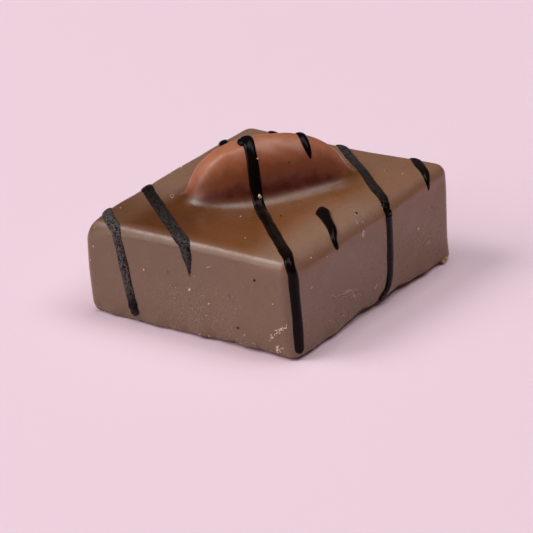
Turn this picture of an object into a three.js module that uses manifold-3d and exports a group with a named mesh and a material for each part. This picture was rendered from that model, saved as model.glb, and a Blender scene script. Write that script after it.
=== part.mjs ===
// A chocolate bonbon: a low milk-chocolate block with a whole almond standing under the same coat,
// crossed by thin strands of dark chocolate. All of it holds together, so it is one solid.
// Millimetres, +Z up. The origin is the middle of the base, X and Y run along the block's sides.
import * as THREE from "three";
import { mergeVertices } from "three/addons/utils/BufferGeometryUtils.js";
import Module from "manifold-3d";

// ---- Driving dimensions, in mm unless the name says degrees ----
const BLOCK = { x: 30.3, y: 33.4, z: 12.1 };
const CROWN = 0.45; // how much higher the top lies at the back corner (-X, +Y)
const FAR_LIFT = 0.55; // and at the far right corner (+X, +Y)
const CORNER_RADIUS = 1.6; // upright edges
const RIM_RADIUS = 1.35; // edge between the top and the sides
const RIGHT_RIM_EXTRA = 0.95; // the coat slumped over the +X rim, most at its front end
const LEFT_CORNER = { sharper: 0.7, rim: 1.5, sag: 0.55 }; // the corner at -X, -Y: tighter, its top softer
const FOOT_RADIUS = 0.65; // edge between the sides and the base
// The coat curls under more about the middle of +X, near the front end of -Y and at the left corner.
const CURL = { right: 1.5, front: 0.75, left: 0.6 }; // how much larger the foot's radius is there
const CURL_MIDDLE = { right: 2, front: 7 }; // along Y and along X
const CURL_REACH = { right: 10, front: 7 };
const CURL_BAND = { inner: 3.5, outer: 0.5 }; // distances in from a side between which its curl sets in

const NUT = {
  turnDegrees: 50, // the nut's long axis, from +X towards +Y
  along: 0.3, // middle of the nut along its axis
  across: -0.92, // and square to it, positive towards the front corner (+X, -Y)
  above: 0.82, // middle of the nut above the block's top
  floor: 0.5, // the nut's form is cut off this far above the base
  halfLength: 9.63,
  halfWidthFront: 3.9,
  halfWidthBack: 3.7,
  halfHeight: 6.0,
  bluntEnd: 2.1, // outline exponent of the end towards -X, -Y; 2 is an ellipse
  pointedEnd: 2.3, // and of the other end
  narrowing: 0.1, // share that the width changes towards each end
  lowering: 0.06, // and the height
};
const COAT_FILLET = 3.0; // how far the coat bridges between the nut and the top

const STRAND_HEADING_DEGREES = -42; // the way the nozzle passed over the block, seen from above
// Each strand is one pass. offset is its distance from the middle of the block, square to the
// heading, turnDegrees is how far its own heading differs from that of the others. start and
// end are places along the heading; where they are left out, the strand runs on over the edge and
// down the side, to startDown or endDown below the top. widths are those at its start, middle and
// end, heights are how far it stands above the coat at its start and end, and lean is how far along
// +X or +Y it has drifted when it reaches the foot, mostly near the foot where late is large.
const STRANDS = [
  { offset: -19.4, startDown: 9.5, endDown: 12.1, widths: [0.7, 1.5, 1.35], heights: [0.2, 0.3],
    lean: 2.4, late: 0.75 },
  { offset: -13.15, turnDegrees: 3.7, startDown: 7.5, endDown: 4.4, widths: [0.9, 1.7, 0.4],
    heights: [0.2, 0.3], lean: 1.2, late: 0.6 },
  { offset: -1.95, startDown: 10.8, endDown: 12, widths: [0.9, 1.5, 1.45], heights: [0.3, 0.3],
    lean: 0.5, late: 0.3 },
  { offset: 4.7, startDown: 6.5, end: 1.1, widths: [0.9, 1.3, 0.8], heights: [0.3, 0.3] },
  { offset: 4.6, start: 8.5, endDown: 1.7, widths: [1.9, 1.2, 0.8], heights: [0.42, 0.3] },
  { offset: 12.1, turnDegrees: 2, startDown: 9.0, endDown: 12.1, widths: [0.9, 1.3, 1.25],
    heights: [0.5, 0.3], lean: -3.3, late: 8 },
  { offset: 18.9, startDown: 5.0, endDown: 1.5, widths: [0.9, 1.3, 0.8], heights: [0.3, 0.25] },
];
const STRAND_TAPER = 3.2; // length over which a strand's end takes its own width
const STRAND_END = 0.7; // length of its rounded end
const STRAND_SINK = 0.1; // how deep its widest line lies in the coat
const STRAND_LOWEST = 0.75; // a strand's middle stops this far above the base
const STRAND_RISE = 10; // length over which a strand's height goes from that at its start to the other
const FARTHEST = 30; // a pass is sought this far either way from the middle of the block

// ---- How finely the solid is faceted ----
const NUT_FOOT_DEGREES = 76; // down from the nut's crest to where the valley round it begins
const VALLEY_REACH = 2.2; // how far out the rings of that valley go
const SEGMENTS_PER_SIDE = 24;
const CORNER_SEGMENTS = 5; // of those, the ones round each corner
const MOST_INSET = 0.95; // of the corner's radius, that a ring at the rim or the foot lies further in
const STRAND_SIDES = 8;
const STRAND_STEP = 1.3; // spacing of a strand's sections
const FINEST_SECTION = 0.12; // the end section, as a share of the width there
const PATH_STEP = 0.05; // spacing of the points that find a strand's path
const SEARCH_REACH = 3.0; // how far a vertex may move to reach the surface
const SEARCH_HALVINGS = 30;
const SETTLING_STEPS = 8; // moves that bring a strand's point onto the coat

const HALF_X = BLOCK.x / 2;
const HALF_Y = BLOCK.y / 2;
const NUT_TURN = THREE.MathUtils.degToRad(NUT.turnDegrees);
const HEADING = THREE.MathUtils.degToRad(STRAND_HEADING_DEGREES);
const UP = new THREE.Vector3(0, 0, 1);

const planOf = (point) => [point.x, point.y];
const clamp01 = (t) => THREE.MathUtils.clamp(t, 0, 1);
const smooth = (t) => THREE.MathUtils.smoothstep(t, 0, 1);
const bell = (distance, width) => Math.exp(-((distance / width) ** 2));

// ---- The form: each function gives a distance in mm, negative inside ----

/** Distance to a rectangle with round corners, seen from above. */
function rectangleDistance(x, y, corner) {
  const dx = Math.abs(x) - HALF_X + corner;
  const dy = Math.abs(y) - HALF_Y + corner;
  return Math.hypot(Math.max(dx, 0), Math.max(dy, 0)) + Math.min(Math.max(dx, dy), 0) - corner;
}

/** The part common to two forms, with their edge rounded to the given radius. */
function roundMeet(a, b, radius) {
  if (a <= -radius || b <= -radius) return Math.max(a, b);
  return Math.hypot(Math.max(a + radius, 0), Math.max(b + radius, 0)) - radius;
}

/** Two forms run together, with a fillet in the valley between them. */
function flowTogether(a, b, reach) {
  const overlap = Math.max(reach - Math.abs(a - b), 0) / reach;
  return Math.min(a, b) - (overlap * overlap * reach) / 4;
}

/** 1 at the corner towards -X, -Y and quickly less away from it. */
function leftCorner(x, y) {
  return clamp01(-(x / HALF_X + y / HALF_Y) / 2) ** 6;
}

function cornerRadius(x, y) {
  return CORNER_RADIUS - LEFT_CORNER.sharper * leftCorner(x, y);
}

function rimRadius(x, y) {
  const nearerRightSide = smooth((HALF_Y - Math.abs(y) - HALF_X + Math.abs(x)) / 4 + 0.35);
  const onRight = nearerRightSide * smooth((x / BLOCK.x) * 4);
  const towardsBack = clamp01((y / HALF_Y + 1) / 2);
  const slump = RIGHT_RIM_EXTRA * (1 - 0.8 * towardsBack);
  return RIM_RADIUS + onRight * slump + LEFT_CORNER.rim * leftCorner(x, y);
}

function footRadius(x, y) {
  const near = (inwards) => smooth((CURL_BAND.inner - inwards) / (CURL_BAND.inner - CURL_BAND.outer));
  const right = near(HALF_X - x) * bell(y - CURL_MIDDLE.right, CURL_REACH.right);
  const front = near(HALF_Y + y) * bell(x - CURL_MIDDLE.front, CURL_REACH.front);
  return FOOT_RADIUS + CURL.right * right + CURL.front * front + CURL.left * leftCorner(x, y);
}

/** The gentle swells of a poured coat, and the stronger ones where it set against the tray. */
function unevenness(x, y, z) {
  const swell = 0.07 * Math.sin(0.42 * x + 0.6) * Math.sin(0.38 * y - 0.4);
  const wave = 0.05 * Math.sin(0.5 * y + 0.7 * z);
  const foot = 0.16 * Math.sin(0.95 * x - 0.75 * y + 0.5) + 0.1 * Math.sin(1.9 * x + 1.6 * y);
  return (swell + wave + bell(z, 1.3) * foot) * smooth(z / 0.8);
}

function topHeight(x, y) {
  const crown = CROWN * clamp01((y / HALF_Y - x / HALF_X) / 2) ** 2;
  const lift = FAR_LIFT * clamp01((x / HALF_X + y / HALF_Y) / 2) ** 2;
  return BLOCK.z + crown + lift - LEFT_CORNER.sag * leftCorner(x, y);
}

function blockDistance(x, y, z) {
  const sides = rectangleDistance(x, y, cornerRadius(x, y));
  const body = roundMeet(sides, z - topHeight(x, y), rimRadius(x, y));
  return roundMeet(body, -z, footRadius(x, y)) - unevenness(x, y, z);
}

/** A direction seen from above, turned from the nut's own axes to X and Y. */
function fromNut(along, across, z) {
  const x = along * Math.cos(NUT_TURN) + across * Math.sin(NUT_TURN);
  const y = along * Math.sin(NUT_TURN) - across * Math.cos(NUT_TURN);
  return new THREE.Vector3(x, y, z);
}

/** How far a place lies along and across the nut from its middle. */
function placeOnNut(x, y) {
  const along = x * Math.cos(NUT_TURN) + y * Math.sin(NUT_TURN) - NUT.along;
  const across = x * Math.sin(NUT_TURN) - y * Math.cos(NUT_TURN) - NUT.across;
  return { share: along / NUT.halfLength, across };
}

/** Half width and half height of the nut at a share of its half length, -1 to 1. */
function nutSection(share, across) {
  const width = across > 0 ? NUT.halfWidthFront : NUT.halfWidthBack;
  return {
    width: width * (1 - NUT.narrowing * share),
    height: NUT.halfHeight * (1 - NUT.lowering * share),
  };
}

function nutDistance(x, y, z) {
  const { share, across } = placeOnNut(x, y);
  const { width, height } = nutSection(share, across);
  const up = z - BLOCK.z - NUT.above;
  const power = share < 0 ? NUT.bluntEnd : NUT.pointedEnd;
  const size = Math.sqrt((across / width) ** 2 + (up / height) ** 2 + Math.abs(share) ** power + 1e-12);
  const slopeAlong = (0.5 * power * Math.abs(share) ** (power - 1)) / NUT.halfLength;
  const slope = Math.hypot(across / width ** 2, up / height ** 2, slopeAlong) + 1e-9;
  return ((size - 1) * size) / slope;
}

function coatDistance(x, y, z) {
  const nut = Math.max(nutDistance(x, y, z), NUT.floor - z);
  return flowTogether(blockDistance(x, y, z), nut, COAT_FILLET);
}

/** How fast the distance to the coat grows at a point, along X, Y and Z. */
function coatSlope({ x, y, z }) {
  const step = 1e-3;
  const grow = (dx, dy, dz) => coatDistance(x + dx, y + dy, z + dz) - coatDistance(x - dx, y - dy, z - dz);
  return new THREE.Vector3(grow(step, 0, 0), grow(0, step, 0), grow(0, 0, step)).divideScalar(2 * step);
}

/** Moves a point along a direction, inwards or outwards, until it lies on the coat's surface. */
function ontoCoat(point, outward) {
  let low = -SEARCH_REACH;
  let high = SEARCH_REACH;
  const trial = new THREE.Vector3();
  for (let i = 0; i < SEARCH_HALVINGS; i++) {
    const middle = (low + high) / 2;
    trial.copy(point).addScaledVector(outward, middle);
    if (coatDistance(trial.x, trial.y, trial.z) < 0) low = middle;
    else high = middle;
  }
  return trial;
}

// ---- Rings over the coat, from the nut's crest to the middle of the base ----

/** A point on the block's outline seen from above, and the way the outline faces there. */
function outlineAt(index, inset) {
  const side = Math.floor(index / SEGMENTS_PER_SIDE) % 4;
  const step = index % SEGMENTS_PER_SIDE;
  const straight = SEGMENTS_PER_SIDE - CORNER_SEGMENTS;
  const radius = CORNER_RADIUS;
  const facing = (side * Math.PI) / 2 + (Math.max(step - straight, 0) / CORNER_SEGMENTS) * (Math.PI / 2);
  const [cos, sin] = [Math.cos((side * Math.PI) / 2), Math.sin((side * Math.PI) / 2)];
  const halfOut = Math.abs(cos) * HALF_X + Math.abs(sin) * HALF_Y;
  const halfAlong = Math.abs(sin) * HALF_X + Math.abs(cos) * HALF_Y;
  const run = (Math.min(step / straight, 1) * 2 - 1) * (halfAlong - radius);
  const facingOut = new THREE.Vector3(Math.cos(facing), Math.sin(facing), 0);
  const point = new THREE.Vector3(
    cos * (halfOut - radius) - sin * run,
    sin * (halfOut - radius) + cos * run,
    0,
  );
  return { point: point.addScaledVector(facingOut, radius - inset), facingOut };
}

/** A point on the nut at an angle round it and an angle down from its crest. */
function nutAt(roundAngle, downAngle) {
  const share = Math.cos(roundAngle) * Math.sin(downAngle);
  const acrossShare = -Math.sin(roundAngle) * Math.sin(downAngle);
  const { width, height } = nutSection(share, acrossShare);
  const up = Math.cos(downAngle);
  const along = NUT.along + share * NUT.halfLength;
  const across = NUT.across + acrossShare * width;
  return {
    point: fromNut(along, across, BLOCK.z + NUT.above + up * height),
    facingOut: fromNut(share / NUT.halfLength, acrossShare / width, up / height).normalize(),
  };
}

/** The angle round the nut for a point of the outline: the nut's tips face two of the corners. */
function nutAngleAt(index) {
  return ((index + CORNER_SEGMENTS / 2 - SEGMENTS_PER_SIDE) * Math.PI) / (2 * SEGMENTS_PER_SIDE);
}

/** How far in from a point of the outline a ring lies where an edge of that radius ends. */
function insetAt(index, radiusAt) {
  return Math.min(radiusAt(...planOf(outlineAt(index, 0).point)), MOST_INSET * CORNER_RADIUS);
}

/** Down the nut, from its crest to just above its foot. */
function nutRing(index, share) {
  return nutAt(nutAngleAt(index), THREE.MathUtils.degToRad(NUT_FOOT_DEGREES) * share);
}

/** Where the valley round the nut has run out onto the top. */
function valleyEnd(index) {
  const foot = nutAt(nutAngleAt(index), Math.PI / 2);
  const sideways = foot.facingOut.setZ(0).normalize();
  return foot.point.addScaledVector(sideways, VALLEY_REACH).setZ(BLOCK.z);
}

/** Down off the nut and round the valley, onto the top. */
function valleyRing(index, share) {
  const start = nutRing(index, 1);
  const point = ontoCoat(start.point, start.facingOut).lerp(valleyEnd(index), share);
  return { point, facingOut: start.facingOut.lerp(UP, share).normalize() };
}

/** Over the top, from the valley to where the rim begins to fall. */
function topRing(index, share) {
  const outer = outlineAt(index, insetAt(index, rimRadius)).point;
  return { point: valleyEnd(index).lerp(outer, share).setZ(BLOCK.z), facingOut: UP.clone() };
}

/** Round the rim, from facing up to facing out. */
function rimRing(index, share) {
  const radius = insetAt(index, rimRadius);
  const { point, facingOut: sideways } = outlineAt(index, radius);
  const angle = (share * Math.PI) / 2;
  const facingOut = sideways.multiplyScalar(Math.sin(angle)).addScaledVector(UP, Math.cos(angle));
  return { point: point.setZ(BLOCK.z - radius).addScaledVector(facingOut, radius), facingOut };
}

/** Down the side to just above the foot. */
function sideRing(index, share) {
  const { point, facingOut } = outlineAt(index, 0);
  const top = BLOCK.z - insetAt(index, rimRadius);
  return { point: point.setZ(THREE.MathUtils.lerp(top, insetAt(index, footRadius), share)), facingOut };
}

/** Round the foot, from facing out to facing down. */
function footRing(index, share) {
  const radius = insetAt(index, footRadius);
  const { point, facingOut: sideways } = outlineAt(index, radius);
  const angle = (share * Math.PI) / 2;
  const facingOut = sideways.multiplyScalar(Math.cos(angle)).addScaledVector(UP, -Math.sin(angle));
  return { point: point.setZ(radius).addScaledVector(facingOut, radius), facingOut };
}

/** Over the flat base to its middle. */
function baseRing(index, share) {
  const { point } = outlineAt(index, insetAt(index, footRadius));
  return { point: point.multiplyScalar(1 - share), facingOut: UP.clone().negate() };
}

// Each band of rings ends where the next begins.
const BANDS = [
  { rings: 8, place: nutRing },
  { rings: 4, place: valleyRing },
  { rings: 5, place: topRing },
  { rings: 4, place: rimRing },
  { rings: 6, place: sideRing },
  { rings: 3, place: footRing },
  { rings: 2, place: baseRing },
];
const RING_COUNT = BANDS.reduce((sum, band) => sum + band.rings, 0);

/** The band that a ring lies in, and how far through it. */
function bandAt(ring) {
  let first = 0;
  for (const band of BANDS) {
    if (ring <= first + band.rings) return { place: band.place, share: (ring - first) / band.rings };
    first += band.rings;
  }
  throw new Error(`no band holds ring ${ring}`);
}

/** The coated block and nut: a sphere's rings laid out over the form and moved onto its surface. */
function makeCoat() {
  const around = 4 * SEGMENTS_PER_SIDE;
  const geometry = new THREE.SphereGeometry(1, around, RING_COUNT);
  const { position, uv } = geometry.attributes;
  for (let i = 0; i < position.count; i++) {
    const ring = Math.round((1 - uv.getY(i)) * RING_COUNT);
    const { place, share } = bandAt(ring);
    const atPole = ring === 0 || ring === RING_COUNT;
    const column = atPole ? 0 : Math.round(uv.getX(i) * around) % around;
    const seed = place(column, share);
    const placed = ontoCoat(seed.point, seed.facingOut);
    position.setXYZ(i, placed.x, placed.y, placed.z);
  }
  return closedGeometry(geometry);
}

/** The geometry with only its positions, and its shared vertices merged. */
function closedGeometry(geometry) {
  geometry.deleteAttribute("normal");
  geometry.deleteAttribute("uv");
  return mergeVertices(geometry, 1e-4);
}

// ---- Strands ----

/** Height of the bare nut or top above a place seen from above. */
function bareHeight(x, y) {
  const { share, across } = placeOnNut(x, y);
  const { width, height } = nutSection(share, across);
  const left = 1 - (across / width) ** 2 - share ** 2;
  return left > 0 ? BLOCK.z + NUT.above + height * Math.sqrt(left) : BLOCK.z;
}

/** Moves a point to the nearest place on the coat. */
function settle(point) {
  for (let i = 0; i < SETTLING_STEPS; i++) {
    const slope = coatSlope(point);
    point.addScaledVector(slope, -coatDistance(point.x, point.y, point.z) / slope.lengthSq());
  }
  return point;
}

const ALONG = new THREE.Vector3(Math.cos(HEADING), Math.sin(HEADING), 0);
const ASIDE = new THREE.Vector3(-Math.sin(HEADING), Math.cos(HEADING), 0);

/** A place on a strand's pass over the block, seen from above. */
function overBlock({ offset, turnDegrees = 0 }, reached) {
  const shift = offset + Math.tan(THREE.MathUtils.degToRad(turnDegrees)) * reached;
  return new THREE.Vector3().addScaledVector(ALONG, reached).addScaledVector(ASIDE, shift);
}

/** Where a strand's pass enters and leaves the block, and the way the side it leaves by runs. */
function crossings(strand) {
  const beyond = (reached) => {
    const { x, y } = overBlock(strand, reached);
    return [Math.abs(x) / HALF_X, Math.abs(y) / HALF_Y];
  };
  let enter = -FARTHEST;
  while (Math.max(...beyond(enter)) >= 1) enter += PATH_STEP;
  let leave = FARTHEST;
  while (Math.max(...beyond(leave)) >= 1) leave -= PATH_STEP;
  const [acrossX, acrossY] = beyond(leave);
  const sideways = acrossX > acrossY ? new THREE.Vector3(0, 1, 0) : new THREE.Vector3(1, 0, 0);
  return { enter, leave, sideways };
}

/** The line that a strand follows over the coat, as a curve of close points. */
function strandPath(strand) {
  const { start, end, startDown, endDown, lean = 0, late = 1 } = strand;
  const { enter, leave, sideways } = crossings(strand);
  const first = start ?? enter - startDown;
  const last = end ?? leave + endDown;
  const path = new THREE.CurvePath();
  let before = null;
  for (let reached = first; reached <= last; reached += PATH_STEP) {
    const overTop = THREE.MathUtils.clamp(reached, enter, leave);
    const down = Math.abs(reached - overTop);
    const point = overBlock(strand, overTop);
    point.addScaledVector(sideways, lean * (Math.max(reached - leave, 0) / BLOCK.z) ** late);
    point.z = down > 0 ? BLOCK.z - down : bareHeight(point.x, point.y);
    settle(point);
    if (before && point.z < STRAND_LOWEST) break;
    if (before) path.add(new THREE.LineCurve3(before, point));
    before = point;
  }
  return path;
}

/** Where a strand's sections stand along it: closer together round its ends. */
function sectionPlaces(length) {
  const steps = Math.max(1, Math.round((length - 2 * STRAND_END) / STRAND_STEP));
  const between = (_, i) => STRAND_END + ((length - 2 * STRAND_END) * i) / steps;
  const near = 0.3 * STRAND_END;
  return [0, near, ...Array.from({ length: steps + 1 }, between), length - near, length];
}

/** A strand's width at a place along it. */
function strandWidth([startWidth, middleWidth, endWidth], place, length) {
  const opening = THREE.MathUtils.lerp(startWidth, middleWidth, smooth(place / STRAND_TAPER));
  const width = THREE.MathUtils.lerp(endWidth, opening, smooth((length - place) / STRAND_TAPER));
  const toEnd = clamp01(Math.min(place, length - place) / STRAND_END);
  return width * Math.max(FINEST_SECTION, Math.sqrt(1 - (1 - toEnd) ** 2));
}

/** A bead of chocolate along its path, half of it sunk in the coat. */
function makeStrand(strand) {
  const path = strandPath(strand);
  const length = path.getLength();
  const places = sectionPlaces(length);
  const geometry = new THREE.CylinderGeometry(1, 1, 1, STRAND_SIDES, places.length - 1);
  const { position } = geometry.attributes;
  for (let i = 0; i < position.count; i++) {
    const place = places[Math.round((0.5 - position.getY(i)) * (places.length - 1))];
    const placed = path.getPointAt(place / length);
    const out = coatSlope(placed).normalize();
    const aside = out.clone().cross(path.getTangentAt(place / length)).normalize();
    const width = strandWidth(strand.widths, place, length);
    const risen = smooth(place / Math.min(length, STRAND_RISE));
    const fullHeight = THREE.MathUtils.lerp(...strand.heights, risen);
    const height = fullHeight * Math.min(1, width / strand.widths[1] + 0.15);
    placed.addScaledVector(aside, (position.getX(i) * width) / 2);
    placed.addScaledVector(out, position.getZ(i) * (height + STRAND_SINK) - STRAND_SINK);
    position.setXYZ(i, placed.x, placed.y, placed.z);
  }
  return closedGeometry(geometry);
}

// ---- Joining ----

/** A closed geometry as a solid that can be joined. */
function toSolid(wasm, geometry) {
  const vertProperties = new Float32Array(geometry.attributes.position.array);
  const triVerts = new Uint32Array(geometry.index.array);
  return new wasm.Manifold(new wasm.Mesh({ numProp: 3, vertProperties, triVerts }));
}

/** The solid with any pocket filled that joining has sealed inside it. */
function withoutPockets(joined) {
  const shells = joined.decompose();
  return shells.reduce((largest, shell) => (shell.volume() > largest.volume() ? shell : largest));
}

/** A joined solid as a geometry, standing on its base with its middle over the origin. */
function toGeometry(solid) {
  const { vertProperties, triVerts } = solid.getMesh();
  const geometry = new THREE.BufferGeometry();
  geometry.setAttribute("position", new THREE.BufferAttribute(vertProperties, 3));
  geometry.setIndex(new THREE.BufferAttribute(triVerts, 1));
  geometry.computeBoundingBox();
  const { min, max } = geometry.boundingBox;
  geometry.translate(-(min.x + max.x) / 2, -(min.y + max.y) / 2, -min.z);
  geometry.computeVertexNormals();
  return geometry;
}

const wasm = await Module();
wasm.setup();

let solid = toSolid(wasm, makeCoat());
for (const strand of STRANDS) solid = withoutPockets(solid.add(toSolid(wasm, makeStrand(strand))));

const milkChocolate = new THREE.MeshStandardMaterial({ color: 0x70564a, roughness: 0.4, metalness: 0 });
const bonbon = new THREE.Mesh(toGeometry(solid), milkChocolate);
bonbon.name = "bonbon";

const part = new THREE.Group();
part.add(bonbon);

export default part;
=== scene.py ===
"""A chocolate bonbon: a milk-chocolate block with a whole almond under the same coat, crossed by
thin strands of dark chocolate, on a pale floor under soft studio light.

Lengths are in millimetres unless a comment says otherwise, and become metres where a mesh is made.
+Z is up, the base lies on z = 0, and X and Y run along the block's sides.
"""

import logging
import math
from dataclasses import dataclass
from enum import Enum
from typing import Any, Callable

import bmesh
import bpy
import numpy as np
from mathutils import Matrix, Vector


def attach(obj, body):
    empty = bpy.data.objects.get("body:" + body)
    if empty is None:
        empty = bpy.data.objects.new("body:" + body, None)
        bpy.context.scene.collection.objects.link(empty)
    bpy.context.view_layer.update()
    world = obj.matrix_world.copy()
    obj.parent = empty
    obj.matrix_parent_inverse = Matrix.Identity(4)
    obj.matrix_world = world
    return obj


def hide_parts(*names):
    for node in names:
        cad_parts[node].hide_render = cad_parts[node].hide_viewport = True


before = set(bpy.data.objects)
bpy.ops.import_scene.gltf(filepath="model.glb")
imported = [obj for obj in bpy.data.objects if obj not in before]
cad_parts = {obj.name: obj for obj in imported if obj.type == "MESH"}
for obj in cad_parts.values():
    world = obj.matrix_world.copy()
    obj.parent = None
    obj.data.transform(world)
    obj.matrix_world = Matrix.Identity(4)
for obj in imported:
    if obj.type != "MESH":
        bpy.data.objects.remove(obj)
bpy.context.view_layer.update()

Array = np.ndarray
Span = tuple[float, float]  # where a change sets in, and where it is complete
METRES = 0.001  # in one millimetre
BODY = "root"
CAD_NODE = "bonbon"
SHARE, FROM, TO, MIXED = 0, 6, 7, 2  # sockets of a Mix node for colours
NOISE_LOW, NOISE_HIGH = 0.3, 0.7  # between which nearly all of a noise's values lie
QUARTER_TURN = math.pi / 2
log = logging.getLogger("bonbon")


class Slot(Enum):
    """The record's material slots."""

    MILK = "milk_chocolate"
    DARK = "dark_chocolate"
    CRUMBS = "pale_crumbs"


# ---- Small mathematics ----


def clamp01(t: Array) -> Array:
    """Holds a value between 0 and 1."""
    return np.clip(t, 0.0, 1.0)


def smooth(t: Array) -> Array:
    """A soft step from 0 to 1 as t goes from 0 to 1."""
    t = clamp01(t)
    return t * t * (3 - 2 * t)


def fade(value: Array, start: float, end: float) -> Array:
    """A soft step from 0 to 1 as a value goes from start to end."""
    return smooth((value - start) / (end - start))


def mix(a: Array, b: Array, t: Array) -> Array:
    """The value a share t of the way from a to b."""
    return a + (b - a) * t


def unit(vectors: Array) -> Array:
    """Each row brought to length 1."""
    return vectors / np.maximum(np.linalg.norm(vectors, axis=-1, keepdims=True), 1e-12)


def bell(distance: Array, width: Array) -> Array:
    """A soft hump that is 1 at no distance and has faded at about twice the width."""
    return np.exp(-((distance / width) ** 2))


# ---- The form: distances in mm, negative inside ----


@dataclass(frozen=True)
class Block:
    """The coated block that the nut stands on."""

    x: float = 30.3
    y: float = 33.4
    z: float = 12.1
    crown: float = 0.45  # how much higher the top lies at the back corner (-X, +Y)
    far_lift: float = 0.55  # and at the far right corner (+X, +Y)
    corner: float = 1.6  # radius of the upright edges
    rim: float = 1.35  # radius between the top and the sides
    right_rim_extra: float = 0.95  # the coat slumped over the +X rim, most at its front end
    right_rim_back: float = 0.2  # share of that slump at its back end
    left_corner_sharper: float = 0.7  # the corner at -X, -Y is tighter, its top softer and lower
    left_corner_rim: float = 1.5
    left_corner_sag: float = 0.55
    foot: float = 0.65  # radius between the sides and the base
    curl_right: float = 1.5  # the coat curls under more about the middle of +X
    curl_front: float = 0.75  # near the front end of -Y
    curl_left: float = 0.6  # and at the left corner
    curl_right_middle: float = 2.0  # along Y
    curl_right_reach: float = 10.0
    curl_front_middle: float = 7.0  # along X
    curl_front_reach: float = 7.0
    curl_sets_in: Span = (3.5, 0.5)  # distance in from its side
    slump_aside: Span = (-1.4, 2.6)  # how much nearer +X is than -Y or +Y

    def left_corner(self, x: Array, y: Array) -> Array:
        """1 at the corner towards -X, -Y, and quickly less away from it as the power says."""
        return clamp01(-(x / self.x + y / self.y)) ** 6

    def rim_radius(self, x: Array, y: Array) -> Array:
        """Radius of the rim nearest to a place seen from above.

        Args:
            x: Places along X.
            y: The same places along Y.

        Returns:
            The radius at each place.
        """
        nearer_right = self.y / 2 - np.abs(y) - (self.x / 2 - np.abs(x))
        on_right = fade(nearer_right, *self.slump_aside) * fade(x, 0.0, self.x / 4)
        slump = self.right_rim_extra * mix(1.0, self.right_rim_back, clamp01(y / self.y + 0.5))
        return self.rim + on_right * slump + self.left_corner_rim * self.left_corner(x, y)

    def foot_radius(self, x: Array, y: Array) -> Array:
        """Radius of the foot nearest to a place seen from above.

        Args:
            x: Places along X.
            y: The same places along Y.

        Returns:
            The radius at each place.
        """
        near_right = fade(self.x / 2 - x, *self.curl_sets_in)
        near_front = fade(self.y / 2 + y, *self.curl_sets_in)
        right = near_right * bell(y - self.curl_right_middle, self.curl_right_reach)
        front = near_front * bell(x - self.curl_front_middle, self.curl_front_reach)
        curls = self.curl_right * right + self.curl_front * front
        return self.foot + curls + self.curl_left * self.left_corner(x, y)

    def outline_distance(self, x: Array, y: Array) -> Array:
        """Distance to the outline seen from above, a rectangle with round corners.

        Args:
            x: Places along X.
            y: The same places along Y.

        Returns:
            The distance, negative inside the outline.
        """
        radius = self.corner - self.left_corner_sharper * self.left_corner(x, y)
        dx = np.abs(x) - self.x / 2 + radius
        dy = np.abs(y) - self.y / 2 + radius
        outside = np.hypot(np.maximum(dx, 0), np.maximum(dy, 0))
        return outside + np.minimum(np.maximum(dx, dy), 0) - radius

    def top(self, x: Array, y: Array) -> Array:
        """Height of the top.

        Args:
            x: Places along X.
            y: The same places along Y.

        Returns:
            The height at each place.
        """
        crown = self.crown * clamp01(y / self.y - x / self.x) ** 2
        lift = self.far_lift * clamp01(x / self.x + y / self.y) ** 2
        return self.z + crown + lift - self.left_corner_sag * self.left_corner(x, y)

    def distance(self, x: Array, y: Array, z: Array) -> Array:
        """Distance to the block with its edges rounded.

        Args:
            x: Places along X.
            y: The same places along Y.
            z: Their heights.

        Returns:
            The distance.
        """
        sides = self.outline_distance(x, y)
        body = round_meet(sides, z - self.top(x, y), self.rim_radius(x, y))
        return round_meet(body, -z, self.foot_radius(x, y))


def round_meet(a: Array, b: Array, radius: Array) -> Array:
    """The part common to two forms, with their edge rounded.

    Args:
        a: Distance to the first form.
        b: Distance to the second form.
        radius: Radius of the edge between them.

    Returns:
        Distance to the common part.
    """
    edge = np.hypot(np.maximum(a + radius, 0), np.maximum(b + radius, 0)) - radius
    return np.where((a <= -radius) | (b <= -radius), np.maximum(a, b), edge)


def flow_together(a: Array, b: Array, reach: float) -> Array:
    """Two forms run together, with a fillet in the valley between them.

    Args:
        a: Distance to the first form.
        b: Distance to the second form.
        reach: How far the fillet bridges.

    Returns:
        Distance to the joined form.
    """
    overlap = np.maximum(reach - np.abs(a - b), 0) / reach
    return np.minimum(a, b) - overlap * overlap * reach / 4


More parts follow.
